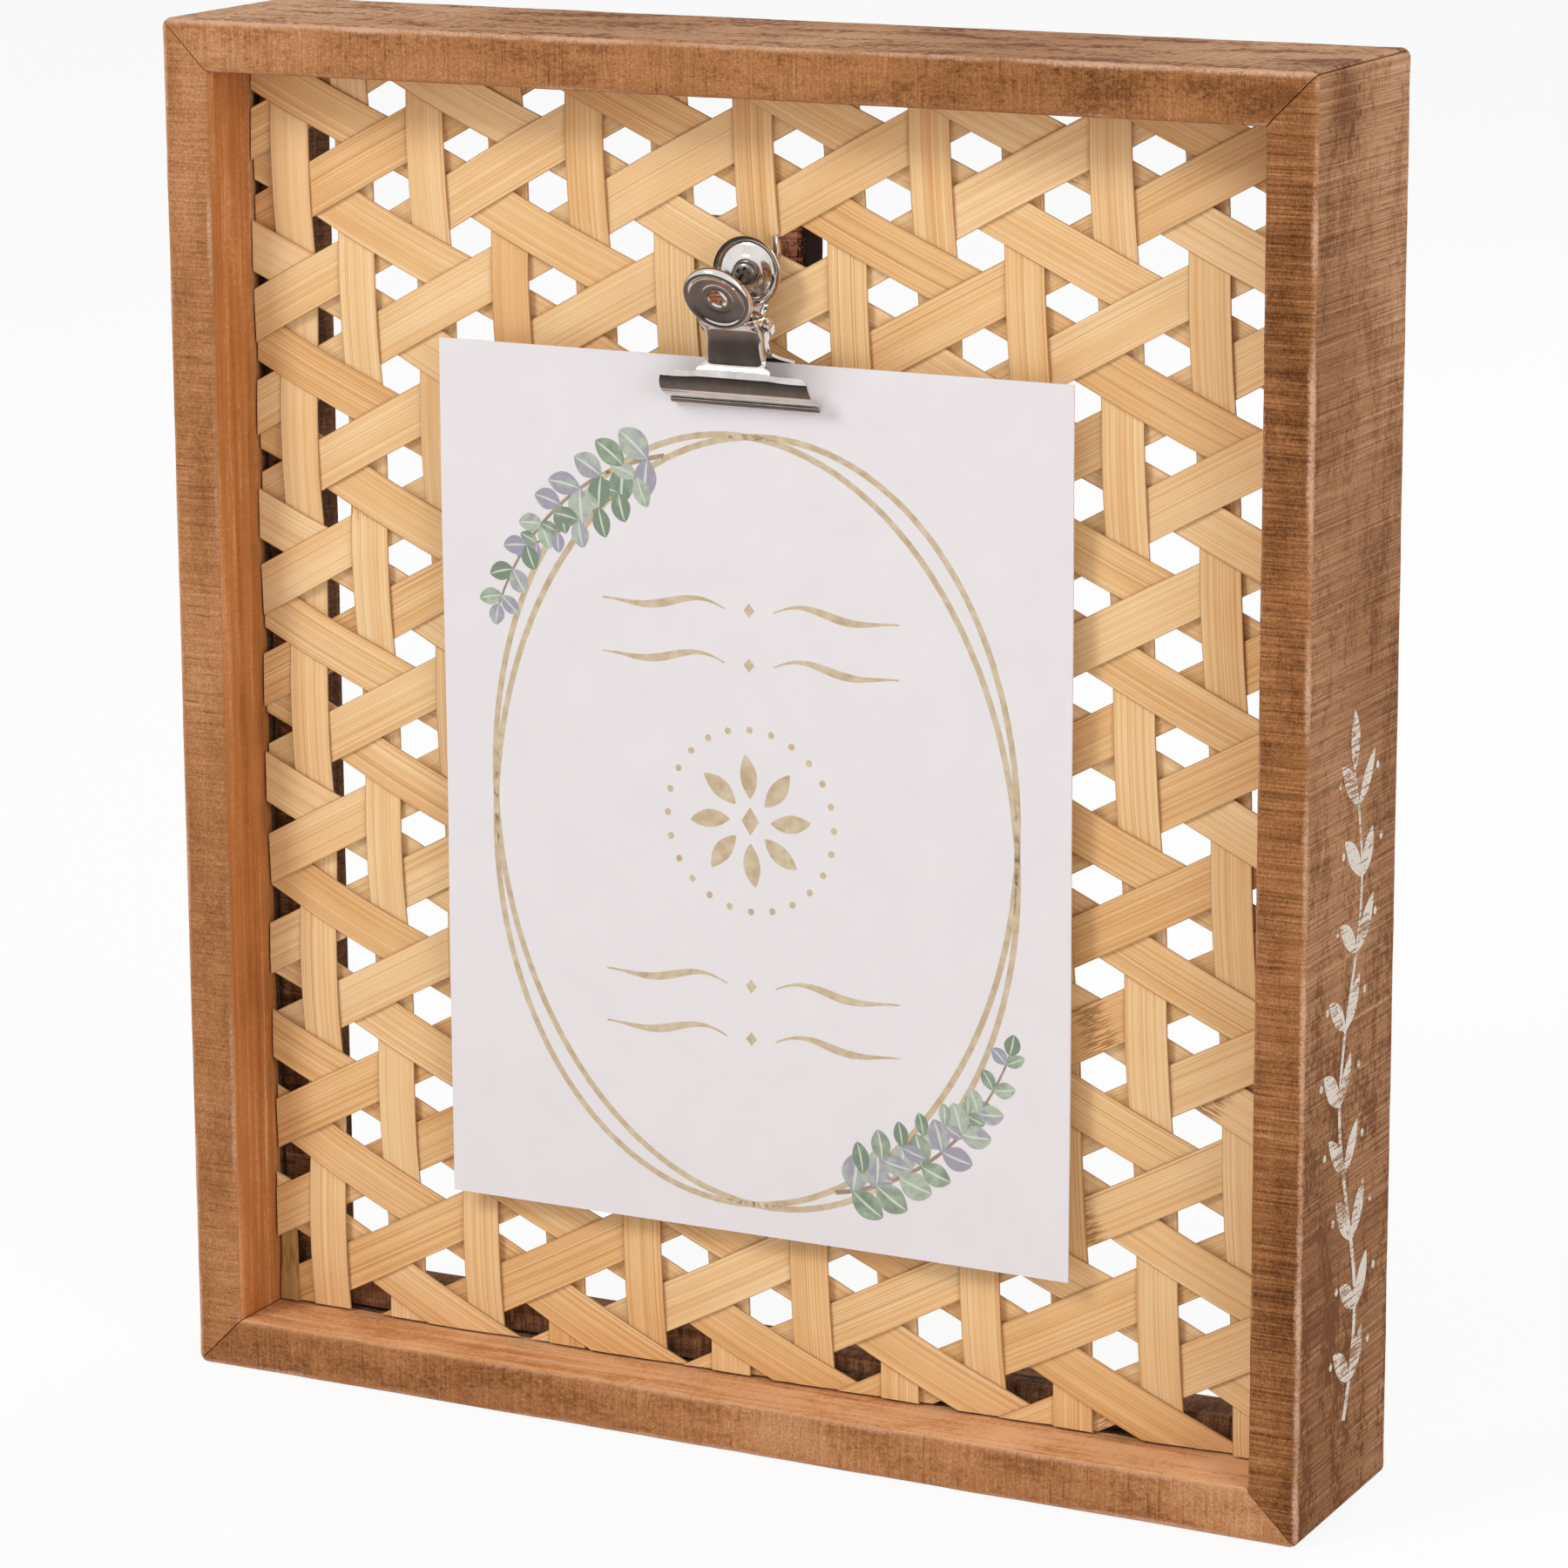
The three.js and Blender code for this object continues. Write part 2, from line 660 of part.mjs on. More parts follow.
function pinSolid() {
  const half = backNeckWidth / 2 + clearance;
  const at = [pivotY, pivotZ];
  return joined(
    rod('x', pinDiameter, -half - 0.1, half + 0.1, at),
    rod('x', pinHeadDiameter, half, half + pinHeadHeight, at),
    rod('x', pinHeadDiameter, -half - pinHeadHeight, -half, at));
}

const stepsPerTurn = 8;

// Torsion spring round the pin, with a leg up the back plate and one down between the plates
function springLine() {
  const radius = pinDiameter / 2 + clearance + springWire / 2;
  const half = springTurns * springPitch / 2;
  const coil = (turn) => new THREE.Vector3(
    springPitch * turn - half,
    pivotY + radius * Math.cos(2 * Math.PI * turn),
    pivotZ - radius * Math.sin(2 * Math.PI * turn));
  const points = [new THREE.Vector3(-half, pivotY + radius, pivotZ + springBackLeg)];
  for (let i = 0; i <= stepsPerTurn * springTurns; i += 1) points.push(coil(i / stepsPerTurn));
  const lean = THREE.MathUtils.degToRad(clipAngle / 2 - openAngle);
  points.push(new THREE.Vector3(
    half, pivotY + radius + springFrontLeg * Math.sin(lean), pivotZ - springFrontLeg * Math.cos(lean)));
  return points;
}

// Least distance between the middle lines of neighbouring turns, less the wire
function leastGap(points) {
  const sameTurn = 0.75 * stepsPerTurn;
  let least = Infinity;
  for (let i = 0; i < points.length; i += 1) {
    for (let k = i + sameTurn; k < points.length; k += 1) {
      least = Math.min(least, points[i].distanceTo(points[k]) - springWire);
    }
  }
  return least;
}

function tube(points, diameter, sides) {
  const path = new THREE.CatmullRomCurve3(points, false, 'centripetal');
  const corners = [];
  for (let i = 0; i < sides; i += 1) {
    const turn = 2 * Math.PI * i / sides;
    corners.push([Math.cos(turn) * diameter / 2, Math.sin(turn) * diameter / 2]);
  }
  return new THREE.ExtrudeGeometry(polygon(corners), {
    steps: points.length - 1, extrudePath: path, bevelEnabled: false,
  });
}

// The screw passes through the back loop, its cross-slotted head in the dish of the loop
function screwSolid() {
  const seat = -loopDish - loopSheet / 2 - clearance;
  const radius = screwDiameter / 2;
  const headRadius = screwHeadDiameter / 2;
  let body = solid(turned('y', [
    [0, -screwHeadHeight], [headRadius * 0.4, -screwHeadHeight],
    [headRadius * 0.72, -0.8 * screwHeadHeight], [headRadius, -0.35 * screwHeadHeight], [headRadius, 0],
    [radius, 0], [radius, screwLength - screwDiameter], [0, screwLength],
  ], 16));
  const slotFloor = screwSlotDepth - screwHeadHeight;
  for (const [width, height] of [[screwSlotWidth, screwSlotLength], [screwSlotLength, screwSlotWidth]]) {
    body = body.subtract(solid(box(
      -width / 2, width / 2, slotFloor - screwHeadHeight, slotFloor, -height / 2, height / 2)));
  }
  return body.translate([0, seat, loopReach]);
}

function addClip() {
  const clip = new THREE.Group();
  clip.position.set(clipShift, clipY, clipZ);
  group.add(clip);
  addPiece('clip_back_plate', clipPlate(1, backNeckWidth), colours.nickel, clip);
  const front = addPiece('clip_front_plate', clipPlate(-1, frontNeckWidth), colours.nickel, clip);
  front.rotation.x = THREE.MathUtils.degToRad(clipAngle);
  addPiece('clip_pin', pinSolid(), colours.nickel, clip);
  const line = springLine();
  console.log(`least gap between turns of the spring: ${leastGap(line).toFixed(2)} mm`);
  addPiece('clip_spring', solid(tube(line, springWire, 5)), colours.steel, clip);
  addPiece('clip_screw', screwSolid(), colours.steel, clip);
}

function addCard() {
  const bottom = clipZ + cardGrip - cardHeight;
  addPiece('card', box(
    clipShift - cardWidth / 2, clipShift + cardWidth / 2,
    clipY - cardThickness / 2, clipY + cardThickness / 2, bottom, bottom + cardHeight), colours.card);
}

// The hanger is drawn with its length along X and its wood side at y = 0
function hangerSolid() {
  const half = hangerLength / 2;
  const rampStart = half - hangerFootLength;
  const rampEnd = rampStart - hangerRamp;
  const line = [
    [-half, 0], [-rampStart, 0], [-rampEnd, hangerOffset], [rampEnd, hangerOffset], [rampStart, 0], [half, 0],
  ].map(([x, y]) => new THREE.Vector2(x, y + hangerSheet / 2));
  let body = solid(extruded(new THREE.Shape(sheetOutline(line, hangerSheet).reverse()), hangerHeight));
  for (let i = 0; i < toothCount; i += 1) {
    const x = (i - (toothCount - 1) / 2) * toothPitch;
    const notch = polygon([
      [x - toothPitch * 0.42, -0.5], [x + toothPitch * 0.42, -0.5], [x, toothDepth]]);
    body = body.subtract(solid(extrudedAlongY(notch, 0, 3 * hangerOffset)));
  }
  for (const side of [-1, 1]) {
    const x = side * (hangerLength - hangerFootLength) / 2;
    body = body.subtract(solid(rod('y', nailDiameter + 2 * clearance, -1, 3, [x, hangerHeight / 2])));
  }
  return body;
}

function nailSolid() {
  return solid(turned('y', nailProfile(nailDiameter, nailLength, nailHeadDiameter, nailHeadHeight), 10));
}

function addHanger() {
  const z = frameHeight - (boardThickness + hangerHeight) / 2;
  const headBack = frameDepth + hangerSheet + 2 * clearance + nailHeadHeight;
  const hanger = addPiece('sawtooth_hanger', hangerSolid(), colours.nickel);
  hanger.position.set(0, frameDepth + clearance, z);
  [-1, 1].forEach((side, i) => {
    const nail = addPiece(`hanger_nail_${i + 1}`, nailSolid(), colours.nickel);
    nail.position.set(side * (hangerLength - hangerFootLength) / 2,
      headBack - nailLength, frameHeight - boardThickness / 2);
  });
}

addBoards();
addBrads();
addBattens();
addUprights();
addDiagonals();
addBlock();
addClip();
addCard();
addHanger();

// The origin lies under the middle of the whole
const whole = new THREE.Box3().setFromObject(group);
group.position.y = -(whole.min.y + whole.max.y) / 2;

export default group;
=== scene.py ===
import random
from math import ceil, cos, exp, hypot, pi, radians, sin, sqrt

import bmesh
import bpy
from mathutils import Matrix, Vector


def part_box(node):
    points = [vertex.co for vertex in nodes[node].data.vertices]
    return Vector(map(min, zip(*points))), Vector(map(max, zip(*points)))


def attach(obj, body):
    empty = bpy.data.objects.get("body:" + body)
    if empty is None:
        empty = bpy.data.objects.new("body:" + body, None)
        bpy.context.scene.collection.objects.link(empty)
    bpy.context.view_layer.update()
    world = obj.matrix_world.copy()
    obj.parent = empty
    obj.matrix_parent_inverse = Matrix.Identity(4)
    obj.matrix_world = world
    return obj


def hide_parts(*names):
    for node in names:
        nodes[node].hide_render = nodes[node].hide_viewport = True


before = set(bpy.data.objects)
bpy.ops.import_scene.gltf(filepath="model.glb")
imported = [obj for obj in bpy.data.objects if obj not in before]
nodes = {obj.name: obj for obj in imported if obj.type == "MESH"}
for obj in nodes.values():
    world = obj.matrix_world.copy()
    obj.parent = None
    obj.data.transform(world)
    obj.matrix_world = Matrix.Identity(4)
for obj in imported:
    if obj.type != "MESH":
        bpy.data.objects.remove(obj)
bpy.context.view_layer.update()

# Wooden box frame with a panel woven of split bamboo, a bulldog clip and a clipped card.
# Sizes in the dictionaries are millimetres, Blender works in metres.
mm = 0.001
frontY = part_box("bottom_board")[0].y


def clamp(value):
    return min(1, max(0, value))


def toLinear(colour):
    channels = [int(colour[i:i + 2], 16) / 255 for i in (1, 3, 5)]
    return [c / 12.92 if c <= 0.04045 else ((c + 0.055) / 1.055) ** 2.4 for c in channels] + [1.0]


# Links are given by an input's name or number: another node, a socket, a number or a hex colour
def setInputs(tree, node, links):
    inputs = [socket for socket in node.inputs if socket.enabled]
    for name, value in links.items():
        socket = inputs[name] if isinstance(name, int) else next(s for s in inputs if s.name == name)
        if isinstance(value, bpy.types.Node):
            value = next(s for s in value.outputs if s.enabled)
        if isinstance(value, bpy.types.NodeSocket):
            tree.links.new(value, socket)
        else:
            socket.default_value = toLinear(value) if isinstance(value, str) else value


# Adds a shader node with its settings and links, and with the stops of a colour ramp
def addNode(tree, kind, links=None, stops=(), **settings):
    node = tree.nodes.new("ShaderNode" + kind)
    for name, value in settings.items():
        setattr(node, name, value)
    setInputs(tree, node, links or {})
    for i, (place, colour) in enumerate(stops):
        elements = node.color_ramp.elements
        stop = elements[i] if i < 2 else elements.new(place)
        stop.position = place
        stop.color = toLinear(colour)
    return node


def newMaterial(name, roughness, metallic=0.0, specular=0.5):
    material = bpy.data.materials.new(name)
    material.use_nodes = True
    tree = material.node_tree
    shader = tree.nodes["Principled BSDF"]
    setInputs(tree, shader, {"Roughness": roughness, "Metallic": metallic, "Specular IOR Level": specular})
    return material, tree, shader


# The last links of a material: its colour, and its relief in mm
def dress(tree, shader, colour, height=None, relief=0.0, strength=1.0):
    setInputs(tree, shader, {"Base Color": colour})
    if height is not None:
        bump = addNode(tree, "Bump", {"Height": height, "Strength": strength, "Distance": relief * mm})
        setInputs(tree, shader, {"Normal": bump})


def deselectAll():
    bpy.ops.object.select_all(action="DESELECT")


def selectOnly(*pieces):
    deselectAll()
    for piece in pieces:
        piece.select_set(True)
    bpy.context.view_layer.objects.active = pieces[0]


# Names a new primitive and puts its place, turn and scale into its mesh
def startPiece(name, scale=(1, 1, 1)):
    piece = bpy.context.object
    piece.name = name
    piece.scale = scale
    selectOnly(piece)
    bpy.ops.object.transform_apply(location=True, rotation=True, scale=True)
    return piece


# Selects parts of the mesh in edit mode by a test on each
def pick(kind, test):
    bpy.ops.mesh.select_mode(type=kind)
    bpy.ops.mesh.select_all(action="DESELECT")
    mesh = bpy.context.edit_object.data
    shape = bmesh.from_edit_mesh(mesh)
    for part in {"VERT": shape.verts, "EDGE": shape.edges, "FACE": shape.faces}[kind]:
        if test(part):
            part.select_set(True)
    bmesh.update_edit_mesh(mesh)


def edgeAlong(edge, axis):
    run = edge.verts[1].co - edge.verts[0].co
    return abs(run.normalized().dot(axis)) > 0.999


def applyModifiers(piece):
    selectOnly(piece)
    for modifier in list(piece.modifiers):
        bpy.ops.object.modifier_apply(modifier=modifier.name)


def smoothShade(piece, angle):
    selectOnly(piece)
    bpy.ops.object.shade_smooth_by_angle(angle=radians(angle))


def joinPieces(pieces, name):
    selectOnly(*pieces)
    bpy.ops.object.join()
    pieces[0].name = name
    return pieces[0]


def giveValues(piece, **values):
    for name, numbers in values.items():
        layer = piece.data.attributes.new(name, "FLOAT", "POINT")
        layer.data.foreach_set("value", numbers)


def faceOutwards(piece):
    selectOnly(piece)
    bpy.ops.object.mode_set(mode="EDIT")
    bpy.ops.mesh.select_all(action="SELECT")
    bpy.ops.mesh.normals_make_consistent(inside=False)
    bpy.ops.object.mode_set(mode="OBJECT")


# Gives a sheet its thickness, half to each side; a pressed one is rounded first
def thicken(piece, thickness, rounding=0):
    if rounding:
        soften = piece.modifiers.new("rounding", "SUBSURF")
        soften.levels = soften.render_levels = rounding
    sheet = piece.modifiers.new("thickness", "SOLIDIFY")
    sheet.thickness = thickness
    sheet.offset = 0
    sheet.use_even_offset = rounding > 0
    applyModifiers(piece)


# Sawn wood isn't flat: the clouds only take away, so a piece stays within its solid
def roughen(piece, sizes, group=""):
    clouds = bpy.data.textures.new(piece.name + "Uneven", "CLOUDS")
    clouds.noise_scale = sizes["unevenScale"] * mm
    displace = piece.modifiers.new("uneven", "DISPLACE")
    displace.texture = clouds
    displace.strength = sizes["uneven"] * mm
    displace.mid_level = 1.0
    displace.vertex_group = group
    applyModifiers(piece)


def settle(piece, material=None, angle=None, body="root", stands=()):
    if angle:
        smoothShade(piece, angle)
    if material:
        piece.data.materials.clear()
        piece.data.materials.append(material)
    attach(piece, body)
    if stands:
        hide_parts(*stands)


viewSizes = {
    "azimuth": 27.12, "elevation": 12.63, "roll": -0.354, "lens": 129.71,
    "place": (0.4564, -0.8956, 0.3627), "shift": (0.02, -0.05),
}


def putInScene(name, data, place=(0, 0, 0), turn=(0, 0, 0)):
    holder = bpy.data.objects.new(name, data)
    holder.location = place
    holder.rotation_euler = turn
    bpy.context.scene.collection.objects.link(holder)
    return holder


def addCamera(view):
    azimuth, elevation = radians(view["azimuth"]), radians(view["elevation"])
    back = Vector((sin(azimuth) * cos(elevation), -cos(azimuth) * cos(elevation), sin(elevation)))
    right = Matrix.Rotation(radians(view["roll"]), 3, back) @ Vector((0, 0, 1)).cross(back).normalized()
    turn = Matrix((right, back.cross(right), back)).transposed().to_euler()
    camera = bpy.data.cameras.new("camera")
    camera.lens = view["lens"]
    camera.shift_x, camera.shift_y = view["shift"]
    bpy.context.scene.camera = putInScene("camera", camera, view["place"], turn)


# The backdrop and the floor are white to the camera and in reflections, and softer as a lamp
def whiteShare(tree, amount):
    light = addNode(tree, "LightPath")
    share = addNode(tree, "Math", {0: light.outputs["Is Camera Ray"], 1: amount}, operation="MULTIPLY")
    share = addNode(tree, "Math", {0: share, 1: light.outputs["Is Glossy Ray"]}, operation="ADD")
    return addNode(tree, "Math", {0: share, 1: light.outputs["Is Transmission Ray"]},
                   operation="ADD", use_clamp=True)


lightSizes = {
    "world": 0.44, "floorWhite": 0.9, "floorSize": 8,
    "lamps": {
        # place, aim, size and power
        "keyLamp": ((-0.75, -1.2, 1.3), (0, 0, 0.13), 0.6, 14.5),
        "fillLamp": ((1.35, -0.75, 0.6), (0, 0, 0.13), 0.9, 8.5),
        "backLamp": ((0.2, 1.3, 1.0), (0, 0, 0.13), 1.0, 7),
    },
    "flags": {
        # dark cards of the studio that only the metal shows: place, aim, width and height
        "floorFlag": ((-0.3, -0.7, 0.004), (-0.3, -0.7, 0), 1.7, 1.5),
        "sideFlag": ((0.8, -0.75, 0.3), (0, 0, 0.2), 0.22, 0.7),
    },
    # from the felt's near edge to its far edge, and its greys between them
    "feltReach": (-0.8, -0.03), "felt": [(0.0, "#332E2B"), (0.7, "#5E5551"), (1.0, "#857C77")],
}


def turnTowards(place, aim):
    return (Vector(place) - Vector(aim)).to_track_quat("Z", "Y").to_euler()


def addLights():
    world = bpy.data.worlds.new("studio")
    world.use_nodes = True
    bpy.context.scene.world = world
    tree = world.node_tree
    soft = tree.nodes["Background"]
    setInputs(tree, soft, {"Color": "#FFFFFF", "Strength": lightSizes["world"]})
    white = addNode(tree, "Background", {"Color": "#FFFFFF", "Strength": 1.0})
    mix = addNode(tree, "MixShader", {0: whiteShare(tree, 1.0), 1: soft, 2: white})
    setInputs(tree, tree.nodes["World Output"], {"Surface": mix})
    for name, (place, aim, size, power) in lightSizes["lamps"].items():
        lamp = bpy.data.lights.new(name, "AREA")
        lamp.shape = "DISK"
        lamp.size = size
        lamp.energy = power
        putInScene(name, lamp, place, turnTowards(place, aim))


def addFloor():
    deselectAll()
    bpy.ops.mesh.primitive_plane_add(size=lightSizes["floorSize"], location=(0, 0, 0))
    floor = startPiece("floor")
    material, tree, shader = newMaterial("white_paper_sweep", 0.9, specular=0.1)
    white = addNode(tree, "Emission", {"Color": "#FFFFFF", "Strength": 1.0})
    # the camera sees mostly plain white with a part of the lit paper, which keeps the shadow
    mix = addNode(tree, "MixShader", {0: whiteShare(tree, lightSizes["floorWhite"]), 1: shader, 2: white})
    setInputs(tree, shader, {"Base Color": "#F6F5F4"})
    setInputs(tree, tree.nodes["Material Output"], {"Surface": mix})
    floor.data.materials.append(material)


def addFlags():
    material, tree, shader = newMaterial("grey_studio_felt", 0.95, specular=0.0)
    place = addNode(tree, "SeparateXYZ", {0: addNode(tree, "TexCoord").outputs["Object"]})
    near, far = lightSizes["feltReach"]
    share = addNode(tree, "MapRange", {"Value": place.outputs["Y"], "From Min": near, "From Max": far})
    dress(tree, shader, addNode(tree, "ValToRGB", {0: share}, stops=lightSizes["felt"]))
    for name, (place, aim, width, height) in lightSizes["flags"].items():
        deselectAll()
        bpy.ops.mesh.primitive_plane_add(size=1, location=place, rotation=turnTowards(place, aim))
        flag = startPiece(name, (width, height, 1))
        flag.data.materials.append(material)
        for ray in ("camera", "diffuse", "shadow", "transmission"):
            setattr(flag, "visible_" + ray, False)


addCamera(viewSizes)
addLights()
addFloor()
addFlags()
bpy.context.scene.view_settings.view_transform = "Standard"
print("camera, floor and light are set")


# Each texture moves the tone up or down from the middle, by its own share
def mixTones(tree, shares):
    tone = 0.5
    for texture, share in shares:
        part = addNode(tree, "Math", {0: texture, 1: -0.5}, operation="ADD")
        part = addNode(tree, "Math", {0: part, 1: share}, operation="MULTIPLY")
        tone = addNode(tree, "Math", {0: part, 1: tone}, operation="ADD")
    return tone


# The colour of a tone, with stains laid over it in turn, each by its own share
def stainTone(tree, tone, stops, stains):
    colour = addNode(tree, "ValToRGB", {0: tone}, stops=stops)
    for share, stain in stains:
        colour = addNode(tree, "Mix", {"Factor": share, "A": colour, "B": stain}, data_type="RGBA")
    return colour


# One noise for each row: its size in mm along each axis, its detail and its roughness
def layTextures(tree, place, rows, warp=0.0):
    textures = {}
    for name, (size, detail, roughness) in rows.items():
        scaled = addNode(tree, "VectorMath", {0: place, 1: [1000 / s for s in size]}, operation="MULTIPLY")
        textures[name] = addNode(tree, "TexNoise", {"Vector": scaled, "Scale": 1.0, "Detail": detail,
                                                    "Roughness": roughness, "Distortion": warp})
    return textures


woodGrain = {  # along, across and through the board
    "fine": ((0.38, 4.5, 4.5), 3, 0.6),
    "grain": ((60, 1.5, 1.5), 4, 0.62),
    "patches": ((20, 7, 7), 4, 0.6),
    "specks": ((0.55, 0.4, 0.4), 3, 0.7),
    "checks": ((0.5, 8, 8), 1, 0.5),
    "clouds": ((75, 60, 60), 2, 0.5),
    "swaths": ((1.5, 90, 90), 2, 0.6),
    "torn": ((1.7, 0.9, 0.9), 4, 0.66),
}
woodMarks = {  # where each mark begins and is full, and how much each noise frays or raises it
    "skip": (0.48, 0.38), "check": (0.66, 0.76), "rim": (0.8, 0.1),
    "torn": {"patches": 0.9, "torn": 1.0}, "frayed": {"fine": 0.6, "patches": 2.4, "specks": 2.0},
    "height": {"marks": 1.6, "fine": 0.8, "specks": 0.6, "check": -0.6},
}


# Rough sawn softwood with a thin brown stain: the saw left fine marks across the grain, the stain took
# unevenly, and the handled edges are rubbed back to pale wood; along the inner front edges that pale rim is
# also a painted highlight.
def sawnPine(name, upright, look):
    material, tree, shader = newMaterial(name, look["roughness"], specular=0.1)
    place = addNode(tree, "TexCoord").outputs["Object"]
    turn = (0, radians(90), 0) if upright else (0, 0, 0)
    parts = addNode(tree, "SeparateXYZ", {
        0: addNode(tree, "Mapping", {"Vector": place, "Rotation": turn})})  # the length now runs along X
    run = addNode(tree, "Math", {0: parts.outputs["Y"], 1: look["slant"], 2: parts.outputs["X"]},
                  operation="MULTIPLY_ADD")
    place = addNode(tree, "CombineXYZ", {0: run, 1: parts.outputs["Y"], 2: parts.outputs["Z"]})
    value = {part: addNode(tree, "Attribute", attribute_name=part).outputs["Fac"]
             for part in ("sawn", "skips", "shade", "fromOuter", "fromInner", "fromFront")}
    value.update(layTextures(tree, place, {**woodGrain, "ridges": (look["ridge"], 2, 0.6)}, look["warp"]))

    def mix(shares):
        return mixTones(tree, [(value[part], share) for part, share in shares.items()])

    value["marks"] = mixTones(tree, [(mix(look["sawMarks"]), value["sawn"])])
    tone = mix({"marks": 1.0, **look["shares"]})
    # skips of the plane: rough and darker, with a ragged outline against the smooth wood
    begin, full = woodMarks["skip"]
    torn = addNode(tree, "MapRange", {"Value": mix(woodMarks["torn"]), "From Min": begin,
                                      "From Max": full, "To Max": -look["skip"]})
    tone = addNode(tree, "Math", {0: torn, 1: value["skips"], 2: tone}, operation="MULTIPLY_ADD")
    tone = addNode(tree, "Math", {0: tone, 1: value["shade"]}, operation="ADD")
    # fine checks: short dark lines across the board
    begin, full = woodMarks["check"]
    value["check"] = addNode(tree, "MapRange", {"Value": value["checks"], "From Min": begin,
                                                "From Max": full, "To Max": look["checks"]})
    stains = [(value["check"], look["checked"])]
    # rubbed edges, from the distances in mm that the boards carry; along the inner front edges the pale rim
    # is also a painted highlight
    frayed = mix(woodMarks["frayed"])
    begin, full = woodMarks["rim"]
    for side, reach in (("fromOuter", look["outerRim"]), ("fromInner", look["innerRim"])):
        away = addNode(tree, "CombineXYZ", {0: value[side], 1: value["fromFront"]})
        away = addNode(tree, "VectorMath", {0: away}, operation="LENGTH").outputs["Value"]
        away = addNode(tree, "Math", {0: away, 1: frayed}, operation="ADD")
        rim = addNode(tree, "MapRange", {"Value": away, "From Min": reach + begin,
                                         "From Max": reach + full, "To Max": look["rubbed"]})
        stains.append((rim, look["rimWearAndHighlight"]))
    colour = stainTone(tree, tone, look["stops"], stains)
    dress(tree, shader, colour, mix(woodMarks["height"]), look["relief"])
    return material


woodLooks = {
    "edge": {  # the 10 mm edges of the boards that face forwards
        "roughness": 0.72, "slant": 0.03, "ridge": (0.42, 16, 16), "warp": 0.05, "skip": 0.055,
        "sawMarks": {"ridges": 0.55, "swaths": 0.25},
        "shares": {"fine": 0.12, "grain": 0.1, "patches": 0.3, "specks": 0.6, "clouds": 0.5},
        "checks": 0.45, "checked": "#5B3824", "outerRim": 0.8, "innerRim": 0.45, "rubbed": 0.85,
        "relief": 0.22, "rimWearAndHighlight": "#DDB091",
        "stops": [(0.2, "#5E3517"), (0.42, "#925F38"), (0.58, "#B2794D"), (0.8, "#D3A176")],
    },
    "outside": {  # the wide outer faces, sawn and pinkish
        "roughness": 0.78, "slant": 0.01, "ridge": (0.42, 60, 60), "warp": 0.0, "skip": 0.2,
        "sawMarks": {"ridges": 0.6, "swaths": 0.2},
        "shares": {"fine": 0.15, "grain": 0.0, "patches": 0.08, "specks": 0.4, "clouds": 0.6},
        "checks": 0.5, "checked": "#65402C", "outerRim": 0.75, "innerRim": -3.0, "rubbed": 0.8,
        "relief": 0.28, "rimWearAndHighlight": "#DDB396",
        "stops": [(0.2, "#75492C"), (0.42, "#A0714D"), (0.58, "#BC8D68"), (0.8, "#DAB190")],
    },
    "inside": {  # the planed faces towards the opening, smooth with the grain showing
        "roughness": 0.6, "slant": 0.0, "ridge": (2.5, 8, 8), "warp": 0.3, "skip": 0.04,
        "sawMarks": {"ridges": 0.1, "swaths": 0.0},
        "shares": {"fine": 0.12, "grain": 0.65, "patches": 0.3, "specks": 0.35, "clouds": 0.4},
        "checks": 0.0, "checked": "#7A4A2C", "outerRim": -3.0, "innerRim": 0.35, "rubbed": 0.6,
        "relief": 0.06, "rimWearAndHighlight": "#D8A67E",
        "stops": [(0.2, "#8C5226"), (0.42, "#AD6C3A"), (0.58, "#BE7C48"), (0.8, "#E4B183")],
    },
}

# Batten wood: a dark stain, made darker still as painted shade, since the battens stand in the shadowed
# recess behind the weave
battenShadeLook = {
    "roughness": 0.85, "slant": 0.0, "ridge": (1.3, 7, 7), "warp": 0.4, "skip": 0.14,
    "sawMarks": {"ridges": 0.6, "swaths": 0.2},
    "shares": {"fine": 0.6, "grain": 0.7, "patches": 0.4, "specks": 0.7, "clouds": 0.3},
    "checks": 0.6, "checked": "#20120B", "outerRim": 0.2, "innerRim": 0.2, "rubbed": 0.35,
    "relief": 0.35, "rimWearAndHighlight": "#8E5F42",
    "stops": [(0.2, "#321F13"), (0.42, "#583A26"), (0.58, "#734E35"), (0.8, "#946A4B")],
}
# The offcut behind the clip: lighter than the battens, partly its own wood and partly painted light falling
# through the weave; its darkest stop serves its darker right side
blockLook = {
    **battenShadeLook, "stops": [(0.2, "#24130C"), (0.42, "#A0664A"), (0.58, "#C48A6A"), (0.8, "#DDAA8A")],
}

boardSizes = {
    "inside": 0.12,  # kept within the solid on every face
    "edge": 1.2, "corner": 1.7, "cuts": 12,
    "crossCuts": ((30, 24), (5, 4)),  # edges longer than this many mm, and the cuts that they get
    "nearMitre": (0.3, 0.7, 1.2, 1.7),
    "uneven": 0.2, "unevenScale": 12, "fadeFromMitre": 4,
    # how light each board took the stain, how deep its saw marks are and how dark its skips, and
    # how much lighter its outer and its inner face is; the bottom board's inner face, facing up, is painted
    # light from above
    "stain": {"bottom_board": (0.04, 0.5, 1.6, 0, 0.2), "top_board": (0.03, 0.5, 1.8, 0.05, 0),
              "left_board": (0.04, 0.55, 0.7, 0.05, 0), "right_board": (-0.06, 1.2, 0.6, 0.04, 0)},
    # darker places: middle, reach and depth of each: a dark knot stain at the top of the right board, and
    # darker towards its foot
    "darker": (((0.114, -0.0072, 0.2535), (0.02, 0.0068, 0.0062), 0.32),
               ((0.118, 0.004, 0.02), (0.008, 0.06, 0.1), 0.13)),
    "roughInStain": 7,
    # the inner faces behind the weave plane are painted shade: they take the dark batten look
    "weavePlane": 15.6,  # behind it the inner faces are dark
}


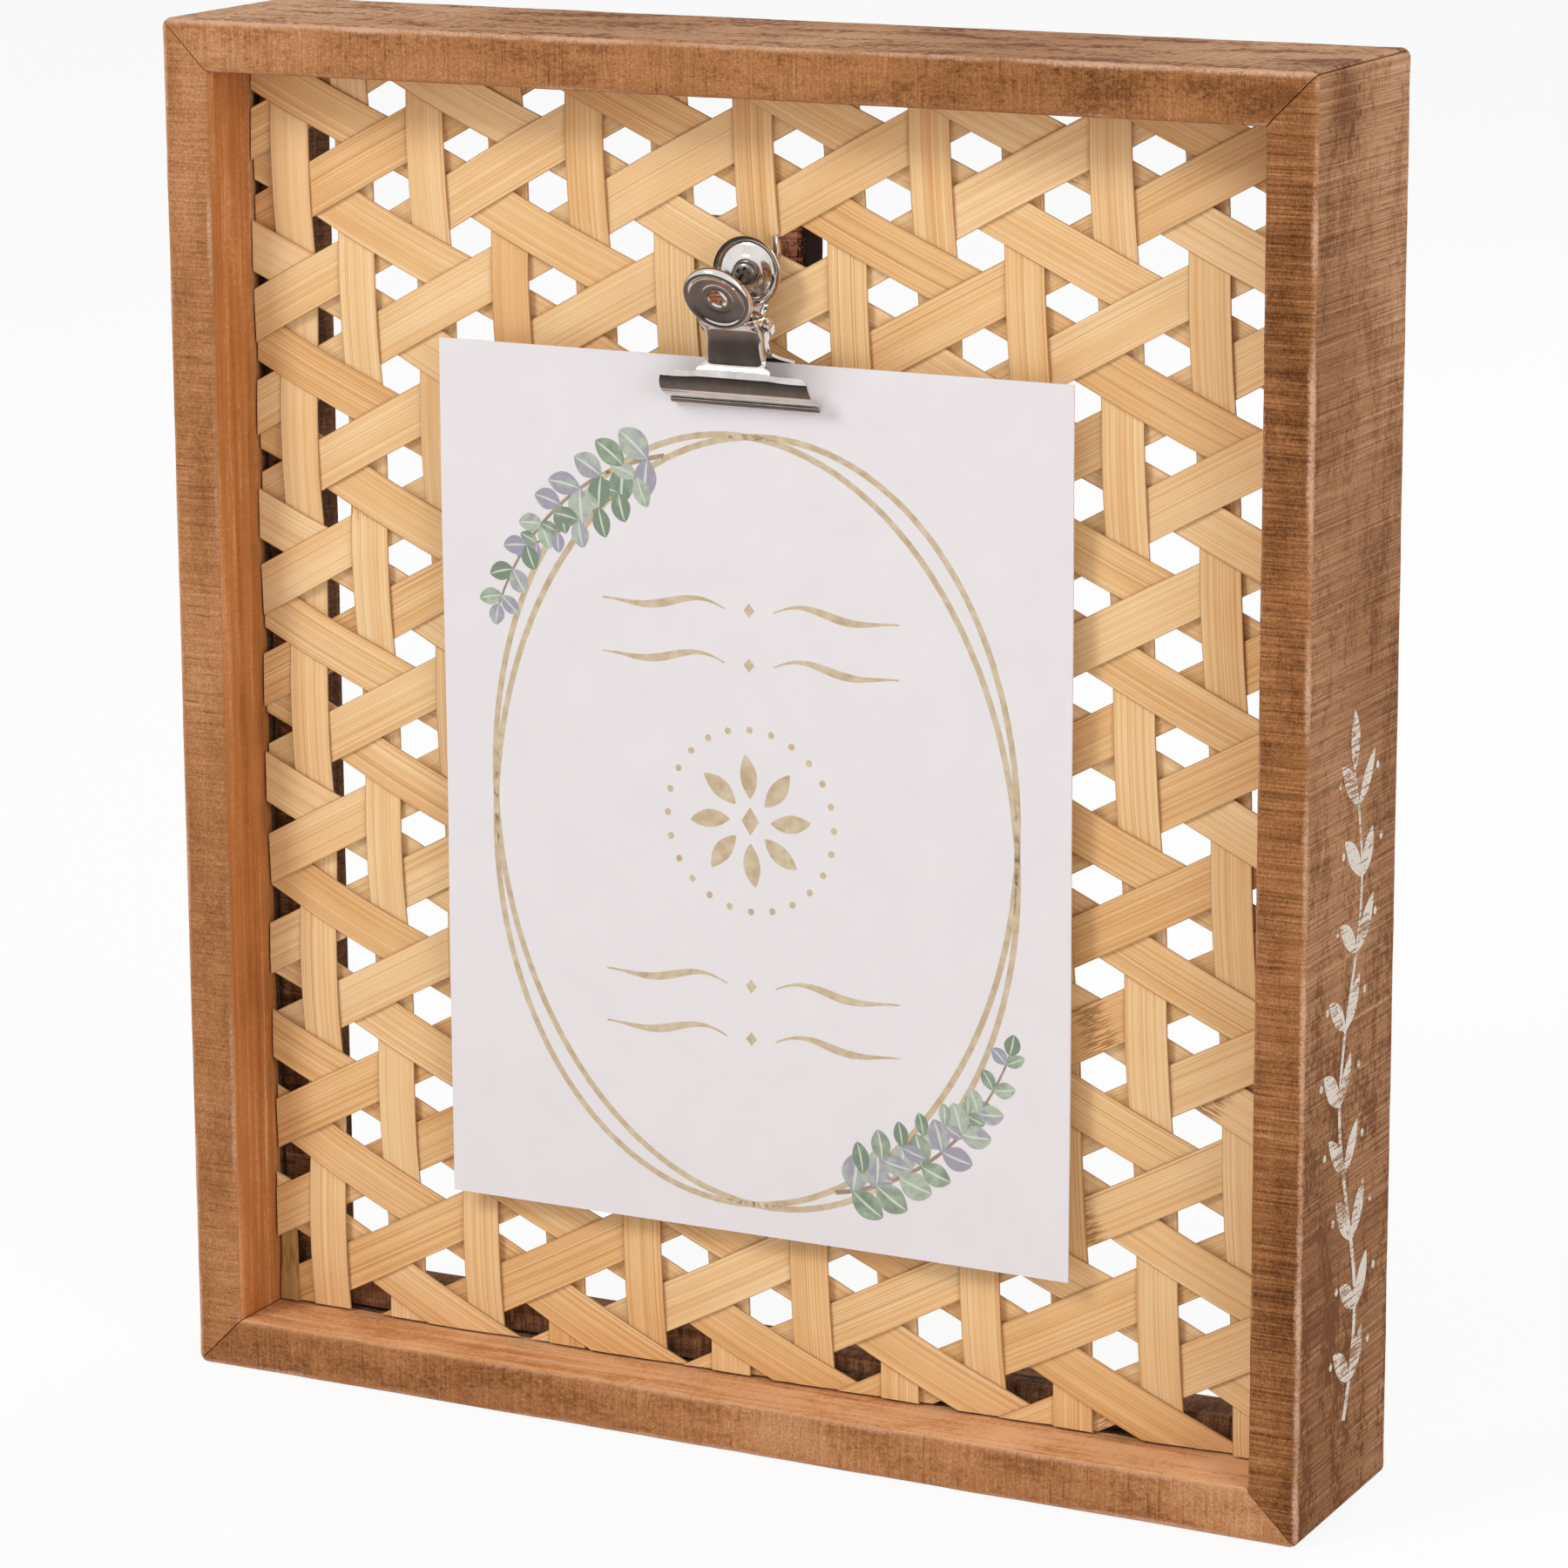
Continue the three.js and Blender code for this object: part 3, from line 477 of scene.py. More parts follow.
def makeBoard(name, outward, materials):
    sizes = boardSizes
    low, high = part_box(name)
    middle, size = (low + high) / 2, high - low - Vector((1, 1, 1)) * 2 * sizes["inside"] * mm
    along = Vector((0, 0, 1)) if abs(outward.x) > 0.5 else Vector((1, 0, 0))
    deselectAll()
    bpy.ops.mesh.primitive_cube_add(size=1, location=middle)
    board = startPiece(name.replace("board", "side"), size)
    halfLength, outer = abs(size.dot(along)) / 2, abs(size.dot(outward)) / 2
    ends = [(way, middle + outward * outer + way * halfLength) for way in (-along, along)]
    bpy.ops.object.mode_set(mode="EDIT")
    for way, tip in ends:
        bpy.ops.mesh.select_all(action="SELECT")
        bpy.ops.mesh.bisect(plane_co=tip, plane_no=way - outward, use_fill=True, clear_outer=True)
    pick("EDGE", lambda edge: edgeAlong(edge, along))
    bpy.ops.mesh.bevel(offset=sizes["edge"] * mm, segments=3, affect="EDGES")
    for _ in range(2):
        pick("EDGE", lambda edge: edgeAlong(edge, along))
        bpy.ops.mesh.subdivide(number_cuts=sizes["cuts"])
    for longer, cuts in sizes["crossCuts"]:
        pick("EDGE", lambda edge: edge.calc_length() > longer * mm)
        bpy.ops.mesh.subdivide(number_cuts=cuts)
    for way, tip in ends:
        for back in sizes["nearMitre"]:
            bpy.ops.mesh.select_all(action="SELECT")
            bpy.ops.mesh.bisect(plane_co=tip - way * back * mm, plane_no=along)
    bpy.ops.object.mode_set(mode="OBJECT")

    # the outer corners are rounded where the two boards meet
    corner = sizes["corner"] * mm
    free = board.vertex_groups.new(name="free")
    for vertex in board.data.vertices:
        for way, tip in ends:
            core = tip - outward * corner - way * corner
            out, run = (vertex.co - core).dot(outward), (vertex.co - core).dot(way)
            if out > 0 and run > 0:
                share = max(out, run) / hypot(out, run)
                vertex.co -= (outward * out + way * run) * (1 - share)
        toMitre = min((tip - vertex.co).dot((way - outward).normalized()) for way, tip in ends)
        free.add([vertex.index], clamp(toMitre / (sizes["fadeFromMitre"] * mm)), "REPLACE")
    roughen(board, sizes, "free")

    points = [vertex.co.copy() for vertex in board.data.vertices]
    outs = [(p - middle).dot(outward) for p in points]
    shade, sawn, skips, outerShade, innerShade = sizes["stain"][name]
    stains = [sum(depth * exp(-sum(((p[i] - centre[i]) / reach[i]) ** 2 for i in range(3)))
                  for centre, reach, depth in sizes["darker"]) for p in points]
    # the bottom board's inner face, which faces up, is made lighter as painted light from above
    lighter = [outerShade if out > 0.9 * outer else innerShade if out < -0.9 * outer else 0 for out in outs]
    giveValues(board,
               fromOuter=[(outer - out) / mm for out in outs],
               fromInner=[(outer + out) / mm for out in outs],
               fromFront=[(size.y / 2 - abs(p.y - middle.y)) / mm for p in points],
               shade=[shade - stain + more for stain, more in zip(stains, lighter)],
               skips=[skips + sizes["roughInStain"] * stain for stain in stains],
               sawn=[sawn] * len(points))
    for material in materials:
        board.data.materials.append(material)
    for face in board.data.polygons:
        lean = face.normal.dot(outward)
        # faces behind the weave plane take the fourth material, the dark batten look, as painted shade of the
        # recess
        behind = face.center.y > frontY + sizes["weavePlane"] * mm
        face.material_index = 1 if lean > 0.8 else 0 if lean > -0.8 else 3 if behind else 2
    settle(board, angle=38, stands=[name])


def addBoards():
    for upright, names in ((False, (("bottom_board", (0, 0, -1)), ("top_board", (0, 0, 1)))),
                           (True, (("left_board", (-1, 0, 0)), ("right_board", (1, 0, 0))))):
        way = "upright" if upright else "lying"
        # the fourth material, recess, is the dark batten look: painted shade for the inner faces behind the
        # weave
        materials = [sawnPine(f"stained_pine_{face}_{way}", upright, look)
                     for face, look in {**woodLooks, "recess": battenShadeLook}.items()]
        for name, outward in names:
            makeBoard(name, Vector(outward), materials)


addBoards()
print("boards are made")


battenSizes = {
    "inside": 0.05, "edge": 0.6, "cell": 2.4, "mostCuts": 90, "shortest": 2, "uneven": 0.45, "unevenScale": 5,
    "shade": 0.04, "darkFrom": 0.95, "darkOver": 0.04, "darkDepth": 0.5,  # shares of the block's width
}


def makeBatten(name, pieceName, material):
    sizes = battenSizes
    low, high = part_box(name)
    size = (high - low) - Vector((1, 1, 1)) * 2 * sizes["inside"] * mm
    deselectAll()
    bpy.ops.mesh.primitive_cube_add(size=1, location=(low + high) / 2)
    batten = startPiece(pieceName, size)
    bpy.ops.object.mode_set(mode="EDIT")
    bpy.ops.mesh.select_all(action="SELECT")
    bpy.ops.mesh.bevel(offset=sizes["edge"] * mm, segments=2, affect="EDGES")
    for axis in Matrix.Identity(3):
        pick("EDGE", lambda edge: edgeAlong(edge, axis) and edge.calc_length() > sizes["shortest"] * mm)
        cuts = ceil(abs(size.dot(axis)) / (sizes["cell"] * mm))
        bpy.ops.mesh.subdivide(number_cuts=min(sizes["mostCuts"], cuts))
    bpy.ops.object.mode_set(mode="OBJECT")
    roughen(batten, sizes)
    points = [vertex.co.copy() for vertex in batten.data.vertices]
    insets = [sorted(min(p[i] - low[i], high[i] - p[i]) / mm for i in range(3)) for p in points]
    nearest = [inset[0] for inset in insets]
    # the block behind the clip is darker on its right side
    across = [(p.x - low.x) / (high.x - low.x) if name == "clip_block" else 0 for p in points]
    dark = [sizes["darkDepth"] * clamp((share - sizes["darkFrom"]) / sizes["darkOver"]) for share in across]
    giveValues(batten, fromOuter=nearest, fromInner=nearest, fromFront=[inset[1] for inset in insets],
               sawn=[1.0] * len(points), skips=[1.0] * len(points), shade=[sizes["shade"] - d for d in dark])
    settle(batten, material, 38, stands=[name])


def addBattens():
    # the battens' dark colour is dark stain and painted shade of the recess
    upright = sawnPine("batten_stain_and_painted_shade_upright", True, battenShadeLook)
    makeBatten("bottom_batten", "batten_bottom", sawnPine("batten_stain_and_painted_shade_lying", False, battenShadeLook))
    makeBatten("left_batten", "batten_left", upright)
    makeBatten("right_batten", "batten_right", upright)
    # the offcut's lighter colour is partly painted light
    makeBatten("clip_block", "block_behind_clip", sawnPine("pine_offcut_with_painted_light", True, blockLook))


addBattens()
print("battens and block are made")


# The strips follow the lattice of the solids: u counts uprights from the left, v counts rows upwards.
weaveSizes = {
    "thickness": 0.3, "rise": 0.66, "crown": 0.03, "widthSpread": 0.3,
    "uprightPitch": 16.65, "rowPitch": 17.25, "firstInset": 8.9, "firstDrop": 22.1, "rowClimb": 0.57,
    "leanAtLeft": 3.4, "leanPerUpright": 0.85, "bow": 4.2, "squeeze": 6.5, "uprights": 12,
    "halfOpening": 104, "openingBottom": 10, "openingTop": 250, "middleY": 14.65, "wallGap": 0.3,
    "shortest": 14, "round": 3, "flat": 0.15, "cellsAcross": 6, "cellLength": 2.0,
    "sway": 0.16, "swayLength": 80, "cornerSlope": {"rising": 0.55, "falling": -0.48}, "spare": 0.6,
    "edgeWaves": ((0.01, 19, 3), (0.006, 4.1, 1)),  # share of the width, length and start
}


def latticePoint(u, v):
    w = weaveSizes
    fall = -v * w["rowPitch"] / (w["openingTop"] - w["openingBottom"])
    share = clamp(u / (w["uprights"] - 1))
    x = (w["firstInset"] - w["halfOpening"] + w["uprightPitch"] * u
         + (w["leanAtLeft"] + w["leanPerUpright"] * u) * fall
         - w["bow"] * sin(pi * sqrt(share)) * (1 - fall) + w["squeeze"] * max(0, -u) * fall)
    z = w["openingTop"] - w["firstDrop"] + w["rowClimb"] * u + w["rowPitch"] * v
    return Vector((x, z))


families = {
    # width, line through the lattice by number and place, and a place where that strip lies in front
    "upright": (8.0, lambda n, p: latticePoint(n, p), lambda n: -1.5 * n + 0.25),
    "rising": (8.8, lambda n, p: latticePoint(p, p / 2 + n - 0.25), lambda n: 1 + n),
    "falling": (8.8, lambda n, p: latticePoint(p, -p / 2 + n + 0.25), lambda n: 2 * n - 1.5),
}


def stripLevel(place, over):
    w = weaveSizes
    rounds = (place - over) / w["round"]
    away = abs(rounds - round(rounds)) * w["round"]
    slope = clamp((away - w["flat"]) / (w["round"] / 2 - 2 * w["flat"]))
    return w["rise"] * (1 - 2 * slope * slope * (3 - 2 * slope))


# First and last place of a strip whose middle line is between the walls
def stripSpan(line, number, low, high):
    w = weaveSizes
    inside = []
    place = low
    while place <= high:
        point = line(number, place)
        if abs(point.x) < w["halfOpening"] and w["openingBottom"] < point.y < w["openingTop"]:
            inside.append(place)
        place += 0.02
    return (inside[0], inside[-1]) if inside else None


# The diagonals run straight: a line is laid through their crossings to the right of the first upright
def straighten(family, number, span):
    line = families[family][1]
    places = [span[0] + 0.25 * i for i in range(int((span[1] - span[0]) / 0.25) + 1)]
    places = [place for place in places if place > 0.75] if span[1] > 4.5 else places
    points = [line(number, place) for place in places]
    middle = sum(points, Vector((0, 0))) / len(points)
    spread = sum((point.x - middle.x) ** 2 for point in points)
    slope = sum((point.x - middle.x) * (point.y - middle.y) for point in points) / spread
    if span[1] < 4.5:
        slope = weaveSizes["cornerSlope"][family]
    step = (line(number, 0.5).x - line(number, -1).x) / 1.5

    def straight(_, place):
        x = line(number, max(place, 0.5)).x + min(0, place - 0.5) * step
        return Vector((x, middle.y + slope * (x - middle.x)))
    return straight


def makeStrip(family, number, span, chance, weathered=0.0):
    w = weaveSizes
    width, line, over = families[family]
    if family != "upright":
        line = straighten(family, number, span)
    over = over(number)
    start, end = span[0] - w["spare"], span[1] + w["spare"]
    length = (line(number, end) - line(number, start)).length
    deselectAll()
    bpy.ops.mesh.primitive_grid_add(
        size=1, x_subdivisions=w["cellsAcross"], y_subdivisions=ceil(length / w["cellLength"]))
    strip = bpy.context.object
    width += chance.uniform(-1, 1) * w["widthSpread"]
    sway, waves = chance.uniform(0.3, 1) * w["sway"], chance.uniform(0.8, 1.3)
    phase = chance.uniform(0, 2 * pi)
    nodePlace = chance.uniform(-0.5, 1.5) * length
    cup = chance.uniform(0.3, 1) * w["crown"]
    tone = chance.random()
    fromNode, sides = [], []
    for vertex in strip.data.vertices:
        side, share = vertex.co.x * 2, vertex.co.y + 0.5
        place, run = start + share * (end - start), share * length
        along = (line(number, place + 0.02) - line(number, place - 0.02)).normalized()
        shift = sway * sin(2 * pi * waves * run / w["swayLength"] + phase)
        edge = 1 + sum(part * sin(run / wave + begin * phase) for part, wave, begin in w["edgeWaves"])
        point = line(number, place) + Vector((-along.y, along.x)) * (side * width / 2 * edge + shift)
        level = stripLevel(place, over) + cup * (1 - side * side)
        vertex.co = Vector((point.x, w["middleY"] - level, point.y)) * mm
        vertex.co.y += frontY
        fromNode.append(run - nodePlace)
        sides.append(side)
    layer = strip.data.uv_layers.active
    layer.name = "stripUv"
    for corner in layer.data:
        corner.uv = (corner.uv[0] * width * mm, corner.uv[1] * length * mm)
    count = len(sides)
    giveValues(strip, fromNode=fromNode, side=sides, tone=[tone] * count, weathered=[weathered] * count)
    trimToOpening(strip)
    return strip


def trimToOpening(strip):
    w = weaveSizes
    side = (w["halfOpening"] - w["wallGap"]) * mm
    bottom, top = (w["openingBottom"] + w["wallGap"]) * mm, (w["openingTop"] - w["wallGap"]) * mm
    selectOnly(strip)
    bpy.ops.object.mode_set(mode="EDIT")
    for point, way in (((side, 0, 0), (1, 0, 0)), ((-side, 0, 0), (-1, 0, 0)),
                       ((0, 0, top), (0, 0, 1)), ((0, 0, bottom), (0, 0, -1))):
        bpy.ops.mesh.select_all(action="SELECT")
        bpy.ops.mesh.bisect(plane_co=point, plane_no=way, clear_outer=True)
    bpy.ops.object.mode_set(mode="OBJECT")
    faceOutwards(strip)


bambooLook = {
    "textures": {  # across and along the strip; the third tells the strips apart
        "fibres": ((0.26, 260, 1000), 2, 0.55), "lines": ((0.34, 420, 1000), 1, 0.55),
        "bands": ((2.4, 300, 1000), 1, 0.55), "clouds": ((8, 26, 1000), 3, 0.55),
        "pores": ((0.22, 1.6, 1000), 2, 0.55), "dashes": ((0.42, 3.6, 1000), 2, 0.55),
    },
    "stops": [(0.22, "#D0975A"), (0.4, "#E1AF76"), (0.56, "#EABF89"), (0.78, "#F2D1A2")],
    # the edge mark is painted shade: a dark line along both edges of each strip, where the strips meet
    "marks": {  # single brown fibres, dark pores and cut edges: where each begins and is full, and how dark
        "lines": (0.66, 0.74, 0.42, "#A3713F"), "pores": (0.74, 0.8, 0.6, "#8A5E33"),
        "edge": (0.955, 0.99, 0.7, "#A2703E"),
    },
    "tones": {"fibres": 1.0, "bands": 0.2, "clouds": 0.35, "tone": 0.22},
    "node": "#9E6A36", "nodeHalf": (7.5, 5.5), "frayed": 7.0, "dash": (0.42, 0.56, 0.8),
    "skin": "#8F7440", "skinShare": 1.3,
}


# Split bamboo, planed flat: straw coloured wood with straight fibres half a millimetre wide, pale and
# brown by turns, a darker edge line that is painted shade where the strips meet, and a rough ring of brown
# dashes where the stem had a node.
def splitBamboo():
    look = bambooLook
    material, tree, shader = newMaterial("split_bamboo_planed", 0.52, specular=0.3)
    value = {name: addNode(tree, "Attribute", attribute_name=name).outputs["Fac"]
             for name in ("tone", "side", "fromNode", "weathered")}
    offset = addNode(tree, "CombineXYZ", {i: value["tone"] for i in range(3)})
    place = addNode(tree, "VectorMath", {0: addNode(tree, "UVMap", uv_map="stripUv"), 1: offset},
                    operation="ADD")
    value.update(layTextures(tree, place, look["textures"]))
    # edge: painted shade along both edges of every strip
    value["edge"] = addNode(tree, "Math", {0: value["side"]}, operation="ABSOLUTE")
    tone = mixTones(tree, [(value[part], share) for part, share in look["tones"].items()])
    dark, stains = {}, []
    for name, (begin, full, share, stain) in look["marks"].items():
        dark[name] = addNode(tree, "MapRange", {"Value": value[name], "From Min": begin, "From Max": full,
                                                "To Max": share})
        stains.append((dark[name], stain))
    # the node: a ragged band of dashes about 6 mm long
    away = addNode(tree, "Math", {0: value["fromNode"]}, operation="ABSOLUTE")
    away = addNode(tree, "Math", {0: value["fibres"], 1: look["frayed"], 2: away}, operation="MULTIPLY_ADD")
    begin, full = look["nodeHalf"]
    band = addNode(tree, "MapRange", {"Value": away, "From Min": begin, "From Max": full})
    begin, full, share = look["dash"]
    dashes = addNode(tree, "MapRange", {"Value": value["dashes"], "From Min": begin, "From Max": full,
                                        "To Max": share})
    streak = addNode(tree, "Math", {0: dashes, 1: band}, operation="MULTIPLY")
    # the outer strip, still with some of its green-brown skin
    skin = addNode(tree, "Math", {0: value["bands"], 1: look["skinShare"]}, operation="MULTIPLY")
    skin = addNode(tree, "Math", {0: skin, 1: value["weathered"]}, operation="MULTIPLY", use_clamp=True)
    stains += [(streak, look["node"]), (skin, look["skin"])]
    colour = stainTone(tree, tone, look["stops"], stains)
    height = mixTones(tree, [(value["fibres"], 1.0), (dark["lines"], -0.6), (streak, 1.0)])
    dress(tree, shader, colour, height, 0.06)
    return material


def addWeave():
    chance = random.Random(7)
    material = splitBamboo()
    thickness, shortest = weaveSizes["thickness"] * mm, weaveSizes["shortest"]
    for number in range(-1, weaveSizes["uprights"]):
        span = stripSpan(families["upright"][1], number, -15.5, 2.5)
        strip = makeStrip("upright", number, span, chance, weathered=0.9 if number < 0 else 0.0)
        thicken(strip, thickness)
        strip.name = f"upright_strip_{number + 2:02d}"
        settle(strip, material, 35, stands=[f"upright_strand_{number + 2:02d}"])
    strips = []
    for family, numbers in (("rising", range(-18, 3)), ("falling", range(-14, 9))):
        line = families[family][1]
        for number in numbers:
            span = stripSpan(line, number, -1.2, weaveSizes["uprights"] + 1)
            if span and (line(number, span[1]) - line(number, span[0])).length >= shortest:
                strips.append(makeStrip(family, number, span, chance))
    lattice = joinPieces(strips, "diagonal_strips")
    thicken(lattice, thickness)
    settle(lattice, material, 35, stands=["diagonal_strands"])


addWeave()
print("weave is made")


# The plates are shaped in the clip's own millimetres: lips at the origin, length along Z, card at Y = 0.
clipSizes = {
    "middle": 2.1, "lips": 195, "depth": 9.8,  # where the lips' middle lies, from the boards' front edges
    "angle": 30.6, "sheet": 0.55, "halfWidth": 15, "shoulderRow": 8,
    # share of the half width at which the columns of the cage stand in the jaw
    "columns": (0, 0.14, 0.27, 0.35, 0.43, 0.5, 0.76, 1),
    "jaw": (  # height, distance from the card, width share
        (0, 0.85, 1), (0.5, 0.85, 1), (0.95, 0.85, 1), (1.2, 0.95, 1), (2.2, 1.8, 1), (3.8, 2.8, 1),
        (5.5, 3.1, 1), (7.1, 2.7, 0.985), (8.0, 1.8, 0.94)),
    "neck": (  # height, distance, half of the flat, what is bent back on each side, bend in degrees
        (8.4, 1.68, 4.9, 2.4, 0), (8.75, 1.15, 4.8, 1.9, 5), (9.1, 0.74, 4.6, 1.5, 30),
        (9.6, 0.58, 4.6, 1.6, 70), (10.6, 0.36, 4.55, 2.4, 90), (12.3, -0.2, 4.55, 4.4, 90),
        (13.4, -0.6, 4.6, 5.7, 90), (14.5, -0.85, 4.7, 5.8, 90), (15.6, -0.88, 4.8, 5.4, 90),
        (16.5, -0.72, 4.9, 4.0, 90), (17.3, -0.5, 4.9, 2.2, 90), (18.1, -0.35, 4.7, 1.7, 90)),
    "bend": 0.9, "flange": (0.3, 0.62, 1),  # its radius, and the columns' shares of what is bent back
    "shoulder": (0.12, 0.1),  # how far the row at the shoulder steps up and out
    "backBulge": 0.76, "backDrop": 1.7, "backRows": 4,
    "backExtra": -1.15, "backFlare": 3.6,  # the back plate's flat is narrower, save at its foot
    "hem": (0.3, 1.45, 1.0), "hemSheet": 0.5, "hemEdge": 0.16,  # the fold along the lip
    "loopReach": 23.4,
    "loop": (  # radius and height of the pressed ring
        (1.9, -0.42), (2.25, -0.5), (2.95, -0.5), (3.1, -0.36), (3.3, -0.3), (5.05, -0.06),
        (5.3, 0.12), (5.6, 0.4), (5.95, 0.48), (6.25, 0.2), (6.45, -0.25), (6.38, -0.65)),
    "loopSheet": 0.46,
    "pivot": (-3.958, 14.468), "pinHalf": 6.5,
    "pin": ((0, 0), (0.8, 0.0), (1.35, 0.04), (1.4, 0.15), (1.2, 0.32), (0.8, 0.38), (0, 0.4)),
    "springTurns": 7, "springPitch": 1.15, "springWire": 0.7, "springRadius": 1.45,
    "springBackLeg": 4, "springFrontLeg": 2.2, "springBite": 28,
    "screwSeat": -0.72,
    "screw": ((0, -1.15), (1.2, -1.15), (1.7, -1.02), (2.05, -0.7), (2.2, -0.3), (2.2, 0),
              (1.45, 0), (1.45, 10.2), (0.9, 12.2), (0, 13.2)),
    "recess": (0.75, 2.7, 1.6, 28),  # width, length, depth, turn
    "staple": (5.9, 13.2, 220.9, 224.4, 2.0, 1.15),  # x, depth, ends, length of the legs, wire
}


# From the clip's own millimetres to the frame's metres
def placeClipPiece(piece, tilt=0.0):
    c = clipSizes
    turn = Matrix.Rotation(radians(tilt), 3, "X")
    for vertex in piece.data.vertices:
        vertex.co = (turn @ vertex.co + Vector((c["middle"], c["depth"], c["lips"]))) * mm
        vertex.co.y += frontY


def settleOnClip(piece, material, angle, node, body="root", tilt=0.0):
    placeClipPiece(piece, tilt)
    settle(piece, material, angle, body, [node])


# A grid whose cells become the sheet: columns run across the plate, rows from the lips to the loop
def bendPlate(side, wider):
    c = clipSizes
    rows = c["jaw"] + c["neck"]
    columns = len(c["columns"]) - 1
    deselectAll()
    bpy.ops.mesh.primitive_grid_add(size=2, x_subdivisions=2 * columns, y_subdivisions=len(rows) - 1)
    plate = bpy.context.object
    shoulder = -1 + 2 * c["shoulderRow"] / (len(rows) - 1)
    bpy.ops.object.mode_set(mode="EDIT")
    pick("FACE", lambda face: face.calc_center_median().y > shoulder
         and abs(face.calc_center_median().x) > 5 / columns)
    bpy.ops.mesh.delete(type="FACE")
    bpy.ops.object.mode_set(mode="OBJECT")
    for vertex in plate.data.vertices:
        column = round(abs(vertex.co.x) * columns)
        row = round((vertex.co.y + 1) / 2 * (len(rows) - 1))
        hand = 1 if vertex.co.x > 0 else -1
        if row < len(c["jaw"]):
            height, out, share = rows[row]
            x = c["columns"][column] * c["halfWidth"] + (wider if 0 < column < 6 else 0) * column / 5
            if column > 5:
                x *= share
            if row == c["shoulderRow"] and column < 6:
                height, out = height + c["shoulder"][0], out + c["shoulder"][1]
        else:
            height, out, flat, bent, degrees = rows[row]
            flat += wider
            if side > 0:
                flat += c["backFlare"] * max(0, 1 - (row - len(c["jaw"])) / 3)
            reach = flat * column / 2 if column < 3 else flat + bent * c["flange"][column - 3]
            x, back = bendOver(reach, flat, radians(degrees))
            out -= back
        foot, lip = c["neck"][c["backRows"]][0], c["jaw"][0][1]
        if side > 0 and height < foot:
            out = lip + (out - lip) * c["backBulge"]
            height -= c["backDrop"] * sin(pi * height / foot)
        vertex.co = (hand * x, side * out, height)
    return plate


# Where a point of the flat sheet comes to lie when the sheet past the flat is bent back
def bendOver(reach, flat, angle):
    past = reach - flat
    radius = clipSizes["bend"]
    if past <= 0 or angle == 0:
        return reach, 0.0
    turned = min(past / radius, angle)
    straight = past - turned * radius
    return (flat + radius * sin(turned) + straight * cos(turned),
            radius * (1 - cos(turned)) + straight * sin(turned))


# A chain of vertices, radius and height, turned about Y
def turnProfile(profile, steps=48):
    deselectAll()
    bpy.ops.mesh.primitive_grid_add(size=2, x_subdivisions=len(profile) - 1, y_subdivisions=1)
    piece = bpy.context.object
    bpy.ops.object.mode_set(mode="EDIT")
    pick("VERT", lambda vertex: vertex.co.y < 0)
    bpy.ops.mesh.delete(type="VERT")
    bpy.ops.object.mode_set(mode="OBJECT")
    for vertex in piece.data.vertices:
        radius, height = profile[round((vertex.co.x + 1) / 2 * (len(profile) - 1))]
        vertex.co = (radius, height, 0)
    bpy.ops.object.mode_set(mode="EDIT")
    bpy.ops.mesh.select_all(action="SELECT")
    bpy.ops.mesh.spin(steps=steps, angle=2 * pi, center=(0, 0, 0), axis=(0, 1, 0))
    bpy.ops.mesh.select_all(action="SELECT")
    bpy.ops.mesh.remove_doubles(threshold=1e-4)
    bpy.ops.object.mode_set(mode="OBJECT")
    faceOutwards(piece)
    return piece


def makePlate(name, node, body, side, wider, material):
    c = clipSizes
    plate = bendPlate(side, wider)
    faceOutwards(plate)
    thicken(plate, c["sheet"], 2)
    loop = turnProfile(c["loop"])
    thicken(loop, c["loopSheet"], 1)
    for vertex in loop.data.vertices:
        vertex.co = Vector((vertex.co.x, side * vertex.co.y, side * vertex.co.z + c["loopReach"]))
    low, out, high = c["hem"]
    sheet = c["hemSheet"]
    deselectAll()
    bpy.ops.mesh.primitive_cube_add(size=1, location=(0, side * (out - sheet / 2), (low + high - 0.3) / 2))
    hem = startPiece("hem", (2 * c["halfWidth"] - 0.1, sheet, high - low + 0.3))
    bpy.ops.object.mode_set(mode="EDIT")
    bpy.ops.mesh.select_all(action="SELECT")
    bpy.ops.mesh.bevel(offset=c["hemEdge"], segments=3, affect="EDGES")
    bpy.ops.object.mode_set(mode="OBJECT")
    whole = joinPieces([plate, loop, hem], name)
    settleOnClip(whole, material, 40, node, body, c["angle"] if side < 0 else 0)


def makeWire(name, points, width):
    curve = bpy.data.curves.new(name, "CURVE")
    curve.dimensions = "3D"
    curve.bevel_depth = width / 2
    curve.bevel_resolution = 3
    curve.use_fill_caps = True
    spline = curve.splines.new("POLY")
    spline.points.add(len(points) - 1)
    for knot, point in zip(spline.points, points):
        knot.co = (*point, 1)
    selectOnly(putInScene(name, curve))
    bpy.ops.object.convert(target="MESH")
    return bpy.context.object


def makePin(material):
    c = clipSizes
    y, z = c["pivot"]
    heads = []
    for hand in (-1, 1):
        head = turnProfile(c["pin"], 24)
        for vertex in head.data.vertices:
            vertex.co = Vector((hand * (c["pinHalf"] + vertex.co.y), y + vertex.co.x, z + hand * vertex.co.z))
        heads.append(head)
    deselectAll()
    bpy.ops.mesh.primitive_cylinder_add(vertices=24, radius=c["pin"][1][0], depth=2 * c["pinHalf"] + 0.2,
                                        location=(0, y, z), rotation=(0, pi / 2, 0))
    pin = joinPieces([startPiece("pin_of_clip"), *heads], "pin_of_clip")
    faceOutwards(pin)
    settleOnClip(pin, material, 40, "clip_pin")


